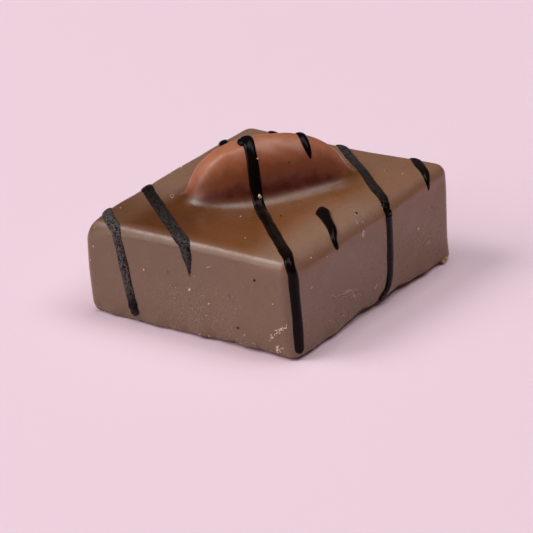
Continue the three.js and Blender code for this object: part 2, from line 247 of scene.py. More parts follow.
@dataclass(frozen=True)
class Nut:
    """The whole almond that stands half out of the top, its broad axis upright."""

    turn: float = math.radians(50)  # its long axis, from +X towards +Y
    along: float = 0.3  # its middle along that axis
    across: float = -0.92  # and square to it, positive towards the front corner (+X, -Y)
    middle: float = 12.92  # height of its middle
    floor: float = 0.5  # its form is cut off this far above the base
    half_length: float = 9.63
    half_width_front: float = 3.9
    half_width_back: float = 3.7
    half_height: float = 6.0
    blunt_end: float = 2.1  # outline exponent of the end towards -X, -Y; 2 is an ellipse
    pointed_end: float = 2.3  # and of the other end
    narrowing: float = 0.1  # share that the width changes towards each end
    lowering: float = 0.06  # and the height

    def from_axes(self, along: Array, across: Array, z: Array) -> Array:
        """A direction turned from the nut's own axes to X and Y."""
        cos, sin = math.cos(self.turn), math.sin(self.turn)
        return np.stack([along * cos + across * sin, along * sin - across * cos, z], -1)

    def place(self, x: Array, y: Array) -> tuple[Array, Array]:
        """How far a place lies along the nut, as a share of its half length, and across it."""
        cos, sin = math.cos(self.turn), math.sin(self.turn)
        return (x * cos + y * sin - self.along) / self.half_length, x * sin - y * cos - self.across

    def section(self, share: Array, across: Array) -> tuple[Array, Array]:
        """Half width and half height at a share of the half length, -1 to 1."""
        width = np.where(across > 0, self.half_width_front, self.half_width_back)
        return width * (1 - self.narrowing * share), self.half_height * (1 - self.lowering * share)

    def distance(self, x: Array, y: Array, z: Array) -> Array:
        """Distance to the nut, cut off near the base.

        Args:
            x: Places along X.
            y: The same places along Y.
            z: Their heights.

        Returns:
            The distance.
        """
        share, across = self.place(x, y)
        width, height = self.section(share, across)
        up = z - self.middle
        power = np.where(share < 0, self.blunt_end, self.pointed_end)
        size = np.sqrt((across / width) ** 2 + (up / height) ** 2 + np.abs(share) ** power + 1e-12)
        slope_along = 0.5 * power * np.abs(share) ** (power - 1) / self.half_length
        slope = np.sqrt((across / width**2) ** 2 + (up / height**2) ** 2 + slope_along**2) + 1e-9
        return np.maximum((size - 1) * size / slope, self.floor - z)

    def height_over(self, x: Array, y: Array, otherwise: float) -> Array:
        """Height of the bare nut above a place, or the other height beside it.

        Args:
            x: Places along X.
            y: The same places along Y.
            otherwise: The height to give beside the nut.

        Returns:
            The height at each place.
        """
        share, across = self.place(x, y)
        width, height = self.section(share, across)
        left = 1 - (across / width) ** 2 - share**2
        return np.where(left > 0, self.middle + height * np.sqrt(np.maximum(left, 0)), otherwise)

    def at(self, round_angle: Array, down_angle: Array) -> tuple[Array, Array]:
        """A point at an angle round the nut and an angle down from its crest, and its facing.

        Args:
            round_angle: Angle round the nut from its long axis.
            down_angle: Angle down from its crest.

        Returns:
            The point and the way it faces.
        """
        share = np.cos(round_angle) * np.sin(down_angle)
        across_share = -np.sin(round_angle) * np.sin(down_angle)
        width, height = self.section(share, across_share)
        up = np.cos(down_angle)
        along = self.along + share * self.half_length
        point = self.from_axes(along, self.across + across_share * width, self.middle + up * height)
        facing = self.from_axes(share / self.half_length, across_share / width, up / height)
        return point, unit(facing)


@dataclass(frozen=True)
class CoatForm:
    """The block and the nut under one coat of milk chocolate."""

    block: Block = Block()
    nut: Nut = Nut()
    fillet: float = 3.0  # how far the coat bridges between the nut and the top
    swell: float = 0.07  # heights of the swells on the top and the sides, and down the sides
    wave: float = 0.05
    foot_swell: float = 0.16  # and of those where it set on the tray
    foot_ripple: float = 0.1
    foot_band: float = 1.3  # how high up the foot those reach
    swells_above: Span = (0.0, 0.8)  # heights: the base stays flat
    nick: float = 0.05  # depth of the nicks along the foot
    nick_band: float = 0.8  # how high up the foot those reach
    nicks_above: Span = (0.0, 0.3)
    dimple: float = 0.012  # depth of the faint dimples all over
    lip: float = 0.16  # how far the thin rolled lip at the foot of +X stands out
    lip_height: float = 0.75  # its middle above the base
    lip_thickness: float = 0.3
    lip_middle: float = 7.5  # its middle along Y
    lip_reach: float = 6.5  # and how far it runs from there
    lip_side: Span = (12.0, 14.5)  # along X, so that only the +X side has it
    shoulder: float = 0.14  # how far the shoulder along the nut's blunt end stands out
    shoulder_across: float = 1.75  # how far it lies from the nut's long axis
    shoulder_width: float = 0.75
    shoulder_along: Span = (-0.18, -0.43)  # share of the nut's half length
    nut_swell: float = 0.035  # height of the swells of the nut's coat
    relief_above: Span = (1.0, 3.0)  # height over the block
    nut_sets_in: Span = (-0.5, 1.1)  # how much deeper in the nut than in the block
    haze_sheen_left: float = 0.88  # strength of the haze with painted sheen on the -Y side, a little lower there as painted shade
    haze_sheen_right: float = 0.92  # on the +X side
    haze_sheen_far: float = 0.52  # and at that side's far end, lower there as painted shade
    haze_sheen_thins: Span = (0.0, 10.0)  # along Y, towards that end
    haze_sheen_side: Span = (13.0, 15.0)  # along X, where +X takes over from the other sides
    haze_sheen_below: Span = (0.0, 1.6)  # depth below the top
    haze_sheen_below_right: Span = (-0.5, 3.5)  # and on +X
    painted_sheen_right: float = 0.9  # strength of the painted sheen on the +X end of the top
    painted_sheen_far: float = 0.6  # and towards the far right corner
    painted_sheen_thins: Span = (0.0, 4.0)  # along Y
    painted_sheen_right_along: Span = (6.5, 12.5)  # along X
    painted_sheen_left: float = 0.25  # on the -X end
    painted_sheen_left_far: float = 0.75
    painted_sheen_thickens: Span = (-12.0, -3.0)  # along Y
    painted_sheen_left_along: Span = (-7.5, -11.0)  # along X
    painted_sheen_back: float = 0.6  # behind the nut
    painted_sheen_back_along: Span = (4.0, 9.0)  # along Y
    painted_sheen_off_nut: Span = (0.8, 3.8)  # distance from the nut
    painted_sheen_above: Span = (-2.2, -0.2)  # height over the block
    painted_highlight_rim: float = 0.55  # and a painted highlight in a line along the -Y rim
    painted_highlight_rim_below: float = 0.45  # depth of its middle below the top
    painted_highlight_rim_width: float = 0.5
    painted_highlight_rim_side: Span = (-14.5, -15.7)  # along Y
    painted_light_most: float = 0.85  # share of the pale colour that the painted light gives +X, where 1 is all pale
    painted_light_along: Span = (-7.0, 11.0)  # along X
    dust_front: tuple[float, float] = (1.0, 3.0)  # middle of the dust on -Y: along X, height
    dust_front_size: tuple[float, float] = (8.0, 4.0)
    dust_front_side: Span = (-15.0, -16.5)  # along Y
    dust_right: float = 0.45  # how thickly it lies on +X
    dust_right_height: float = 4.0
    dust_right_size: float = 4.0
    dust_right_side: Span = (13.5, 15.0)  # along X
    search_reach: float = 1.5  # how far a vertex may move to reach the surface
    halvings: int = 26
    settling_steps: int = 8

    # In the waves below the factors of x, y and z are radians a millimetre, uneven on purpose,
    # so that no wave repeats itself along a side.

    def unevenness(self, x: Array, y: Array, z: Array) -> Array:
        """The gentle swells of a poured coat, and the stronger ones where it set on the tray.

        Args:
            x: Places along X.
            y: The same places along Y.
            z: Their heights.

        Returns:
            How far the coat stands out.
        """
        swell = self.swell * np.sin(0.42 * x + 0.6) * np.sin(0.38 * y - 0.4)
        wave = self.wave * np.sin(0.5 * y + 0.7 * z)
        foot = self.foot_swell * np.sin(0.95 * x - 0.75 * y + 0.5)
        foot = foot + self.foot_ripple * np.sin(1.9 * x + 1.6 * y)
        return (swell + wave + bell(z, self.foot_band) * foot) * fade(z, *self.swells_above)

    def ripple(self, x: Array, y: Array, z: Array) -> Array:
        """Finer relief than the solid has: nicks along the foot, and its thin rolled lip at +X.

        Args:
            x: Places along X.
            y: The same places along Y.
            z: Their heights.

        Returns:
            How far the coat stands out.
        """
        nicks = np.sin(3.1 * x - 2.3 * y) * np.sin(1.7 * x + 2.9 * y + 1.0)
        waves = 0.5 * np.sin(4.7 * x + 3.9 * y + 5.0 * z)
        dimples = self.dimple * np.sin(1.6 * x + 0.4 * y) * np.sin(1.4 * y - 1.1 * z + 0.7)
        worn = self.nick * (nicks + waves) * bell(z, self.nick_band) + dimples
        raggedness = 0.7 + 0.3 * np.sin(1.1 * y) * np.sin(2.7 * y + 0.4)
        along_lip = bell(y - self.lip_middle, self.lip_reach) * fade(x, *self.lip_side)
        up_lip = bell(z - self.lip_height, self.lip_thickness)
        return (worn + self.lip * up_lip * raggedness * along_lip) * fade(z, *self.nicks_above)

    def nut_relief(self, x: Array, y: Array, z: Array) -> Array:
        """The soft shoulder along the nut's blunt end, and the swells of its thin coat.

        Args:
            x: Places along X.
            y: The same places along Y.
            z: Their heights.

        Returns:
            How far the nut's coat stands out.
        """
        share, across = self.nut.place(x, y)
        shoulder = bell(across - self.shoulder_across, self.shoulder_width)
        shoulder = shoulder * fade(share, *self.shoulder_along)
        swells = np.sin(17.1 * share + 0.8 * z) * np.sin(1.3 * z - 0.9 * across + 1.0)
        high = fade(z - self.block.z, *self.relief_above)
        return high * (self.shoulder * shoulder + self.nut_swell * swells)

    def distance(self, points: Array) -> Array:
        """Distance of each point to the surface of the coat.

        Args:
            points: The points, one a row.

        Returns:
            The distances.
        """
        x, y, z = np.moveaxis(points, -1, 0)
        block = self.block.distance(x, y, z) - self.unevenness(x, y, z) - self.ripple(x, y, z)
        nut = self.nut.distance(x, y, z) - self.nut_relief(x, y, z)
        return flow_together(block, nut, self.fillet)

    def slope(self, points: Array) -> Array:
        """How fast that distance grows at each point, along X, Y and Z.

        Args:
            points: The points, one a row.

        Returns:
            The slope, one row a point.
        """
        step = 1e-3
        axes = step * np.eye(3)
        grow = [self.distance(points + axis) - self.distance(points - axis) for axis in axes]
        return np.stack(grow, -1) / (2 * step)

    def onto(self, points: Array, outward: Array) -> Array:
        """Moves points inwards or outwards along their directions until they lie on the coat.

        Args:
            points: The points, one a row.
            outward: Their directions.

        Returns:
            The points on the coat.
        """
        low = np.full(points.shape[:-1], -self.search_reach)
        high = -low
        for _ in range(self.halvings):
            middle = (low + high) / 2
            inside = self.distance(points + outward * middle[..., None]) < 0
            low = np.where(inside, middle, low)
            high = np.where(inside, high, middle)
        return points + outward * middle[..., None]

    def settle(self, points: Array) -> Array:
        """Moves points to the nearest place on the coat.

        Args:
            points: The points, one a row.

        Returns:
            The points on the coat.
        """
        for _ in range(self.settling_steps):
            slope = self.slope(points)
            reach = self.distance(points) / np.maximum((slope**2).sum(-1), 1e-6)
            points = points - slope * reach[..., None]
        return points

    def over_nut(self, points: Array) -> Array:
        """1 where the coat lies on the nut, 0 where it lies on the block.

        Args:
            points: The points, one a row.

        Returns:
            The share, 0 to 1.
        """
        x, y, z = np.moveaxis(points, -1, 0)
        deeper = self.block.distance(x, y, z) - self.nut.distance(x, y, z)
        return fade(deeper, *self.nut_sets_in)

    def up_nut(self, points: Array) -> Array:
        """How far up the nut a point lies, 0 at its foot and 1 at its crest there.

        Args:
            points: The points, one a row.

        Returns:
            The share, 0 to 1.
        """
        share, _ = self.nut.place(points[..., 0], points[..., 1])
        rise = self.nut.half_height * np.sqrt(np.maximum(1 - share**2, 0.1))
        return clamp01((points[..., 2] - self.block.z) / (rise + 0.8))

    def haze_and_sheen(self, points: Array) -> Array:
        """How much pale haze a point on the sides has: partly the dry haze of handling, partly
        painted sheen for the floor's reflection, and less towards the far end of +X as painted
        shade.

        Args:
            points: The points, one a row.

        Returns:
            The share, 0 to 1.
        """
        x, y, z = np.moveaxis(points, -1, 0)
        right = fade(x, *self.haze_sheen_side)
        below = self.block.top(x, y) - z
        sets_in = mix(fade(below, *self.haze_sheen_below), fade(below, *self.haze_sheen_below_right), right)
        on_right = mix(self.haze_sheen_right, self.haze_sheen_far, fade(y, *self.haze_sheen_thins))
        return sets_in * mix(self.haze_sheen_left, on_right, right)

    def painted_sheen(self, points: Array) -> Array:
        """How much painted sheen lies on the top, most at +X and behind the nut, and a painted
        highlight along the -Y rim.

        Args:
            points: The points, one a row.

        Returns:
            The share, 0 to 1.
        """
        x, y, z = np.moveaxis(points, -1, 0)
        off_nut = fade(self.nut.distance(x, y, z), *self.painted_sheen_off_nut)
        right = mix(self.painted_sheen_right, self.painted_sheen_far, fade(y, *self.painted_sheen_thins))
        right = right * fade(x, *self.painted_sheen_right_along) * off_nut
        left = mix(self.painted_sheen_left, self.painted_sheen_left_far, fade(y, *self.painted_sheen_thickens))
        left = left * fade(x, *self.painted_sheen_left_along)
        back = self.painted_sheen_back * fade(y, *self.painted_sheen_back_along) * off_nut
        above_rim = fade(z - self.block.z, *self.painted_sheen_above)
        below = self.block.top(x, y) - z
        rim = self.painted_highlight_rim * bell(below - self.painted_highlight_rim_below, self.painted_highlight_rim_width)
        rim = rim * fade(y, *self.painted_highlight_rim_side)
        return np.maximum(np.maximum(np.maximum(right, left), back) * above_rim, rim)

    def painted_light_right(self, points: Array) -> Array:
        """How much paler the coat is painted towards +X: painted light, as brighter light falls
        there and the nut shades the left.
        """
        return self.painted_light_most * fade(points[..., 0], *self.painted_light_along)

    def dust(self, points: Array) -> Array:
        """How thickly fine pale dust lies: most on the lower middle of the -Y side.

        Args:
            points: The points, one a row.

        Returns:
            The share, 0 to 1.
        """
        x, y, z = np.moveaxis(points, -1, 0)
        (along, height), (length, tall) = self.dust_front, self.dust_front_size
        front = fade(y, *self.dust_front_side) * bell(x - along, length) * bell(z - height, tall)
        right = bell(z - self.dust_right_height, self.dust_right_size)
        return clamp01(front + self.dust_right * fade(x, *self.dust_right_side) * right)


# ---- Meshes ----


def sphere_mesh(name: str, around: int, rings: int) -> tuple[bpy.types.Mesh, Array, Array]:
    """A sphere whose rings can be laid out over another form.

    Args:
        name: Name of the mesh.
        around: Number of columns.
        rings: Number of bands from pole to pole.

    Returns:
        The mesh, and each vertex's ring and column; a pole's column is 0.
    """
    bm = bmesh.new()
    bmesh.ops.create_uvsphere(bm, u_segments=around, v_segments=rings, radius=1.0)
    mesh = bpy.data.meshes.new(name)
    bm.to_mesh(mesh)
    bm.free()
    places = positions(mesh)
    ring = np.rint(np.arccos(np.clip(places[:, 2], -1, 1)) / math.pi * rings)
    turn = np.arctan2(places[:, 1], places[:, 0]) / (2 * math.pi)
    column = np.rint(turn * around) % around
    return mesh, ring, np.where((ring == 0) | (ring == rings), 0, column)


def positions(mesh: bpy.types.Mesh) -> Array:
    """The mesh's vertices, one row each.

    Args:
        mesh: The mesh.

    Returns:
        The places, in the mesh's own units.
    """
    flat = np.empty(len(mesh.vertices) * 3)
    mesh.vertices.foreach_get("co", flat)
    return flat.reshape(-1, 3)


def move_to(mesh: bpy.types.Mesh, points: Array) -> None:
    """Moves the mesh's vertices to points in millimetres and smooths its shading.

    Args:
        mesh: The mesh.
        points: The points, one a row.
    """
    mesh.vertices.foreach_set("co", (points * METRES).ravel())
    mesh.polygons.foreach_set("use_smooth", [True] * len(mesh.polygons))
    mesh.update()


def add_attribute(mesh: bpy.types.Mesh, name: str, values: Array) -> None:
    """Stores one number per vertex for the material to read."""
    attribute = mesh.attributes.new(name, "FLOAT", "POINT")
    attribute.data.foreach_set("value", np.asarray(values, dtype=np.float32))


def show(mesh: bpy.types.Mesh, material: bpy.types.Material) -> bpy.types.Object:
    """Adds a finished mesh to the scene as a piece of the bonbon.

    Args:
        mesh: The mesh.
        material: Its material.

    Returns:
        The piece.
    """
    piece = bpy.data.objects.new(mesh.name, mesh)
    bpy.context.scene.collection.objects.link(piece)
    mesh.materials.append(material)
    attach(piece, BODY)
    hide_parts(CAD_NODE)
    log.info("%s: %d faces", piece.name, len(mesh.polygons))
    return piece


# ---- Finishes ----


def linear(colour: str, alpha: float = 1.0) -> tuple[float, float, float, float]:
    """An sRGB colour such as "#62361b" as the linear values that a shader takes.

    Args:
        colour: The colour as it is written in a style sheet.
        alpha: How opaque it is.

    Returns:
        Red, green, blue and alpha.
    """
    channels = [int(colour[i : i + 2], 16) / 255 for i in (1, 3, 5)]
    shades = [c / 12.92 if c <= 0.04045 else ((c + 0.055) / 1.055) ** 2.4 for c in channels]
    return (shades[0], shades[1], shades[2], alpha)


def add_node(
    tree: bpy.types.NodeTree, kind: str, inputs: dict | None = None, **settings: Any
) -> bpy.types.Node:
    """Adds one shader node.

    Args:
        tree: The material's node tree.
        kind: The node's type, without "ShaderNode".
        inputs: A value or an output socket for each input, by name or number.
        settings: The node's own settings.

    Returns:
        The node.
    """
    node = tree.nodes.new("ShaderNode" + kind)
    for name, value in settings.items():
        setattr(node, name, value)
    for name, value in (inputs or {}).items():
        if isinstance(value, bpy.types.NodeSocket):
            tree.links.new(value, node.inputs[name])
        else:
            node.inputs[name].default_value = value
    return node


def empty_material(name: str) -> tuple[bpy.types.Material, bpy.types.NodeTree]:
    """A material with nothing in its node tree but the output.

    Args:
        name: The material's name.

    Returns:
        The material and its node tree.
    """
    material = bpy.data.materials.new(name)
    material.use_nodes = True
    tree = material.node_tree
    tree.nodes.clear()
    return material, tree


def per_mm(grain: float) -> float:
    """The scale of a pattern whose grains are that many millimetres across."""
    return 1 / (grain * METRES)


@dataclass(frozen=True)
class MilkChocolate:
    """Milk chocolate poured over and set in air: it sets satin, a soft sheen over warm brown.

    Where it lies on the almond it is thin, and the nut's reddish skin warms it; its colour there is
    painted darker towards the nut's foot as shade and paler towards its crest as sheen.
    """

    deep: str = "#5d3010"
    pale: str = "#824e26"
    # greyer colour of the sides: dry haze, and painted sheen
    haze_sheen_colour: str = "#80654c"
    # pale colour of the painted sheen on the top and the painted highlight on the -Y rim
    painted_sheen_colour: str = "#987460"
    # nut_foot is painted shade at the nut's foot, nut_crest painted sheen at its crest
    nut_foot: str = "#571506"
    nut_flank: str = "#8d4a2a"
    nut_crest: str = "#b56d4b"
    dust: str = "#b09784"
    smoothest: float = 0.26  # roughness of the surface
    roughest: float = 0.36
    thin_rougher: float = 0.08  # how much rougher the thin coat over the nut is
    cloudiness: float = 0.15  # how much paler the coat is in its clouds
    mottling: float = 0.11  # how far up or down the nut its colours wander
    flank_sets_in: Span = (0.18, 0.52)  # how far up the nut, as a share
    crest_sets_in: Span = (0.6, 1.0)
    cloud_size: float = 4.0  # sizes of the patterns in mm
    mottle_size: float = 1.5
    speckle_size: float = 0.22
    satin_size: float = 1.2
    grain_size: float = 0.25
    grain_depth: float = 0.008  # in mm

    def block_colour(
        self, tree: bpy.types.NodeTree, place: bpy.types.NodeSocket
    ) -> bpy.types.NodeSocket:
        """The coat on the block: deep brown, paler towards +X as painted light and in random
        clouds, greyer with haze and painted sheen, and paler with painted sheen and highlight.

        Args:
            tree: The material's node tree.
            place: The socket that gives the place on the bonbon.

        Returns:
            The colour.
        """
        clouds = add_node(tree, "TexNoise", {"Vector": place, "Scale": per_mm(self.cloud_size)})
        cloud = add_node(
            tree,
            "MapRange",
            {"Value": clouds.outputs["Fac"], "From Min": 0.35, "From Max": 0.65,
             "To Max": self.cloudiness},
            interpolation_type="SMOOTHSTEP",
        )
        painted_light_right, haze_and_sheen, painted_sheen = (
            add_node(tree, "Attribute", attribute_name=name).outputs["Fac"]
            for name in ("painted_light_right", "haze_and_sheen", "painted_sheen")
        )
        # Painted light: the coat turns from deep to pale towards +X, and also in random clouds.
        painted_light_and_clouds = add_node(tree, "Math", {0: painted_light_right, 1: cloud.outputs["Result"]}, operation="ADD")
        colour = linear(self.deep)
        for share, paint in (
            (painted_light_and_clouds.outputs[0], self.pale), (haze_and_sheen, self.haze_sheen_colour), (painted_sheen, self.painted_sheen_colour)
        ):
            colour = add_node(
                tree, "Mix", {SHARE: share, FROM: colour, TO: linear(paint)}, data_type="RGBA"
            ).outputs[MIXED]
        return colour

    def nut_colour(
        self, tree: bpy.types.NodeTree, place: bpy.types.NodeSocket
    ) -> bpy.types.NodeSocket:
        """The thin coat on the nut: red-brown, darkest at its foot as painted shade, paler and
        warmer up to its crest as painted sheen.

        Args:
            tree: The material's node tree.
            place: The socket that gives the place on the bonbon.

        Returns:
            The colour.
        """
        mottles = add_node(
            tree,
            "TexNoise",
            {"Vector": place, "Scale": per_mm(self.mottle_size), "Detail": 5.0, "Roughness": 0.7},
        )
        mottle = add_node(
            tree,
            "MapRange",
            {"Value": mottles.outputs["Fac"], "From Min": NOISE_LOW, "From Max": NOISE_HIGH,
             "To Min": -self.mottling, "To Max": self.mottling},
        )
        up_nut = add_node(tree, "Attribute", attribute_name="up_nut").outputs["Fac"]
        up = add_node(tree, "Math", {0: up_nut, 1: mottle.outputs["Result"]}, operation="ADD")
        colour = linear(self.nut_foot)
        for (first, last), paint, easing in (
            (self.flank_sets_in, self.nut_flank, "SMOOTHSTEP"),
            (self.crest_sets_in, self.nut_crest, "LINEAR"),
        ):
            share = add_node(
                tree,
                "MapRange",
                {"Value": up.outputs[0], "From Min": first, "From Max": last},
                interpolation_type=easing,
            )
            colour = add_node(
                tree,
                "Mix",
                {SHARE: share.outputs[0], FROM: colour, TO: linear(paint)},
                data_type="RGBA",
            ).outputs[MIXED]
        return colour

    def specks(
        self, tree: bpy.types.NodeTree, place: bpy.types.NodeSocket
    ) -> bpy.types.NodeSocket:
        """How much a place is covered by the fine pale specks of dust.

        Args:
            tree: The material's node tree.
            place: The socket that gives the place on the bonbon.

        Returns:
            The share, 0 to 1.
        """
        fine = add_node(
            tree,
            "TexNoise",
            {"Vector": place, "Scale": per_mm(self.speckle_size), "Detail": 1.0},
        )
        speckle = add_node(
            tree,
            "MapRange",
            {"Value": fine.outputs["Fac"], "From Min": 0.57, "From Max": 0.66, "To Max": 0.6},
            interpolation_type="SMOOTHSTEP",
        )
        dust = add_node(tree, "Attribute", attribute_name="dust").outputs["Fac"]
        return add_node(
            tree, "Math", {0: speckle.outputs[0], 1: dust}, operation="MULTIPLY"
        ).outputs[0]

    def material(self) -> bpy.types.Material:
        """Builds the node material.

        Returns:
            The material.
        """
        material, tree = empty_material("milk_chocolate_satin")
        place = add_node(tree, "TexCoord").outputs["Object"]
        over_nut = add_node(tree, "Attribute", attribute_name="over_nut").outputs["Fac"]
        block, nut = self.block_colour(tree, place), self.nut_colour(tree, place)
        coat = add_node(tree, "Mix", {SHARE: over_nut, FROM: block, TO: nut}, data_type="RGBA")
        colour = add_node(
            tree,
            "Mix",
            {SHARE: self.specks(tree, place), FROM: coat.outputs[MIXED], TO: linear(self.dust)},
            data_type="RGBA",
        )
        satin = add_node(tree, "TexNoise", {"Vector": place, "Scale": per_mm(self.satin_size)})
        rough = add_node(
            tree,
            "MapRange",
            {"Value": satin.outputs["Fac"], "From Min": NOISE_LOW, "From Max": NOISE_HIGH,
             "To Min": self.smoothest, "To Max": self.roughest},
            interpolation_type="SMOOTHSTEP",
        )
        thin = add_node(
            tree, "Math", {0: over_nut, 1: self.thin_rougher, 2: rough.outputs[0]},
            operation="MULTIPLY_ADD",
        )
        grain = add_node(
            tree,
            "TexNoise",
            {"Vector": place, "Scale": per_mm(self.grain_size), "Detail": 1.0},
        )
        bump = add_node(
            tree,
            "Bump",
            {"Height": grain.outputs["Fac"], "Strength": 0.3,
             "Distance": self.grain_depth * METRES},
        )
        shader = add_node(
            tree,
            "BsdfPrincipled",
            {
                "Base Color": colour.outputs[MIXED],
                "Roughness": thin.outputs[0],
                "IOR": 1.54,
                "Normal": bump.outputs[0],
            },
        )
        add_node(tree, "OutputMaterial", {"Surface": shader.outputs[0]})
        return material


@dataclass(frozen=True)
class DarkChocolate:
    """Dark chocolate piped in strands: it sets glossy and almost black.

    Where a strand was rubbed it is dull and charcoal grey, as its attribute says; the same grey
    also serves as painted sheen where the strand catches the light.
    """

    gloss: str = "#120806"
    # grey of the worn places, also used as painted sheen
    rubbed_and_sheen: str = "#625a58"
    roughness: float = 0.2
    rubbed_roughness: float = 0.5
    crumpled_smoother: float = 0.08  # how much smoother it is where it crumpled
    grain_size: float = 0.2  # of its worn places, in mm
    grain_depth: float = 0.07  # in mm

    def material(self) -> bpy.types.Material:
        """Builds the node material.

        Returns:
            The material.
        """
        material, tree = empty_material("dark_chocolate_gloss")
        place = add_node(tree, "TexCoord").outputs["Object"]
        rubbed_and_sheen = add_node(tree, "Attribute", attribute_name="rubbed_and_sheen").outputs["Fac"]
        crumpled = add_node(tree, "Attribute", attribute_name="crumpled").outputs["Fac"]
        grain = add_node(
            tree,
            "TexNoise",
            {"Vector": place, "Scale": per_mm(self.grain_size), "Detail": 3.0},
        ).outputs["Fac"]
        patchy = add_node(
            tree,
            "MapRange",
            {"Value": grain, "From Min": 0.38, "From Max": 0.6},
            interpolation_type="SMOOTHSTEP",
        )
        # the grey share: partly wear, partly painted sheen
        worn = add_node(tree, "Math", {0: rubbed_and_sheen, 1: patchy.outputs[0]}, operation="MULTIPLY")
        colour = add_node(
            tree,
            "Mix",
            {SHARE: worn.outputs[0], FROM: linear(self.gloss), TO: linear(self.rubbed_and_sheen)},
            data_type="RGBA",
        )
        rough = add_node(
            tree,
            "MapRange",
            {"Value": rubbed_and_sheen, "To Min": self.roughness, "To Max": self.rubbed_roughness},
        )
        shiny = add_node(
            tree, "Math", {0: crumpled, 1: -self.crumpled_smoother, 2: rough.outputs[0]},
            operation="MULTIPLY_ADD",
        )
        height = add_node(tree, "Math", {0: grain, 1: rubbed_and_sheen}, operation="MULTIPLY")
        bump = add_node(
            tree,
            "Bump",
            {"Height": height.outputs[0], "Strength": 0.6, "Distance": self.grain_depth * METRES},
        )
        shader = add_node(
            tree,
            "BsdfPrincipled",
            {
                "Base Color": colour.outputs[MIXED],
                "Roughness": shiny.outputs[0],
                "IOR": 1.45,
                "Specular IOR Level": 0.1,
                "Normal": bump.outputs[0],
            },
        )
        add_node(tree, "OutputMaterial", {"Surface": shader.outputs[0]})
        return material


@dataclass(frozen=True)
class Mottled:
    """A dry matt finish of two shades, mottled at the scale of its grains."""

    name: str
    first: str
    second: str
    roughness: float
    grain_size: float = 0.3  # in mm

    def material(self) -> bpy.types.Material:
        """Builds the node material.

        Returns:
            The material.
        """
        material, tree = empty_material(self.name)
        place = add_node(tree, "TexCoord").outputs["Object"]
        grain = add_node(tree, "TexNoise", {"Vector": place, "Scale": per_mm(self.grain_size)})
        share = add_node(
            tree,
            "MapRange",
            {"Value": grain.outputs["Fac"], "From Min": 0.4, "From Max": 0.6},
            interpolation_type="SMOOTHSTEP",
        )
        colour = add_node(
            tree,
            "Mix",
            {SHARE: share.outputs[0], FROM: linear(self.first), TO: linear(self.second)},
            data_type="RGBA",
        )
        inputs = {"Base Color": colour.outputs[MIXED], "Roughness": self.roughness}
        shader = add_node(tree, "BsdfPrincipled", inputs)
        add_node(tree, "OutputMaterial", {"Surface": shader.outputs[0]})
        return material


# Crumbs of sugar and blanched nut: dry, pale and matt.
PALE_CRUMB = Mottled("nut_crumb_matt", "#f2e3c8", "#c9a884", 0.6)
# Small flakes at the foot of the far right corner: golden and matt.
GOLDEN_FLAKE = Mottled("golden_flake_matt", "#d9b878", "#9a6a3c", 0.6)
# Milk chocolate scratched or chipped: the broken surface is dry and much paler. A few of these pale
# flecks are painted highlights and glints.
PALE_SCUFF_AND_GLINT = Mottled("milk_chocolate_scuffs_and_glints", "#c3a996", "#9d7d69", 0.5)
# Dark specks, dry and brown; on the left strand they mark its small pits, and there their dark is
# painted shade.
DARK_SPECK = Mottled("dark_speck_matt", "#24120c", "#3a2016", 0.7, 0.2)


@dataclass(frozen=True)
class StudioPaper:
    """Pale pink background paper: smooth and matt."""

    colour: str = "#fde0ed"

    def material(self) -> bpy.types.Material:
        """Builds the node material.

        Returns:
            The material.
        """
        material, tree = empty_material("studio_paper")
        inputs = {"Base Color": linear(self.colour), "Roughness": 0.9, "Specular IOR Level": 0.1}
        shader = add_node(tree, "BsdfPrincipled", inputs)
        add_node(tree, "OutputMaterial", {"Surface": shader.outputs[0]})
        return material


# ---- The coat ----

Seeds = tuple[Array, Array]


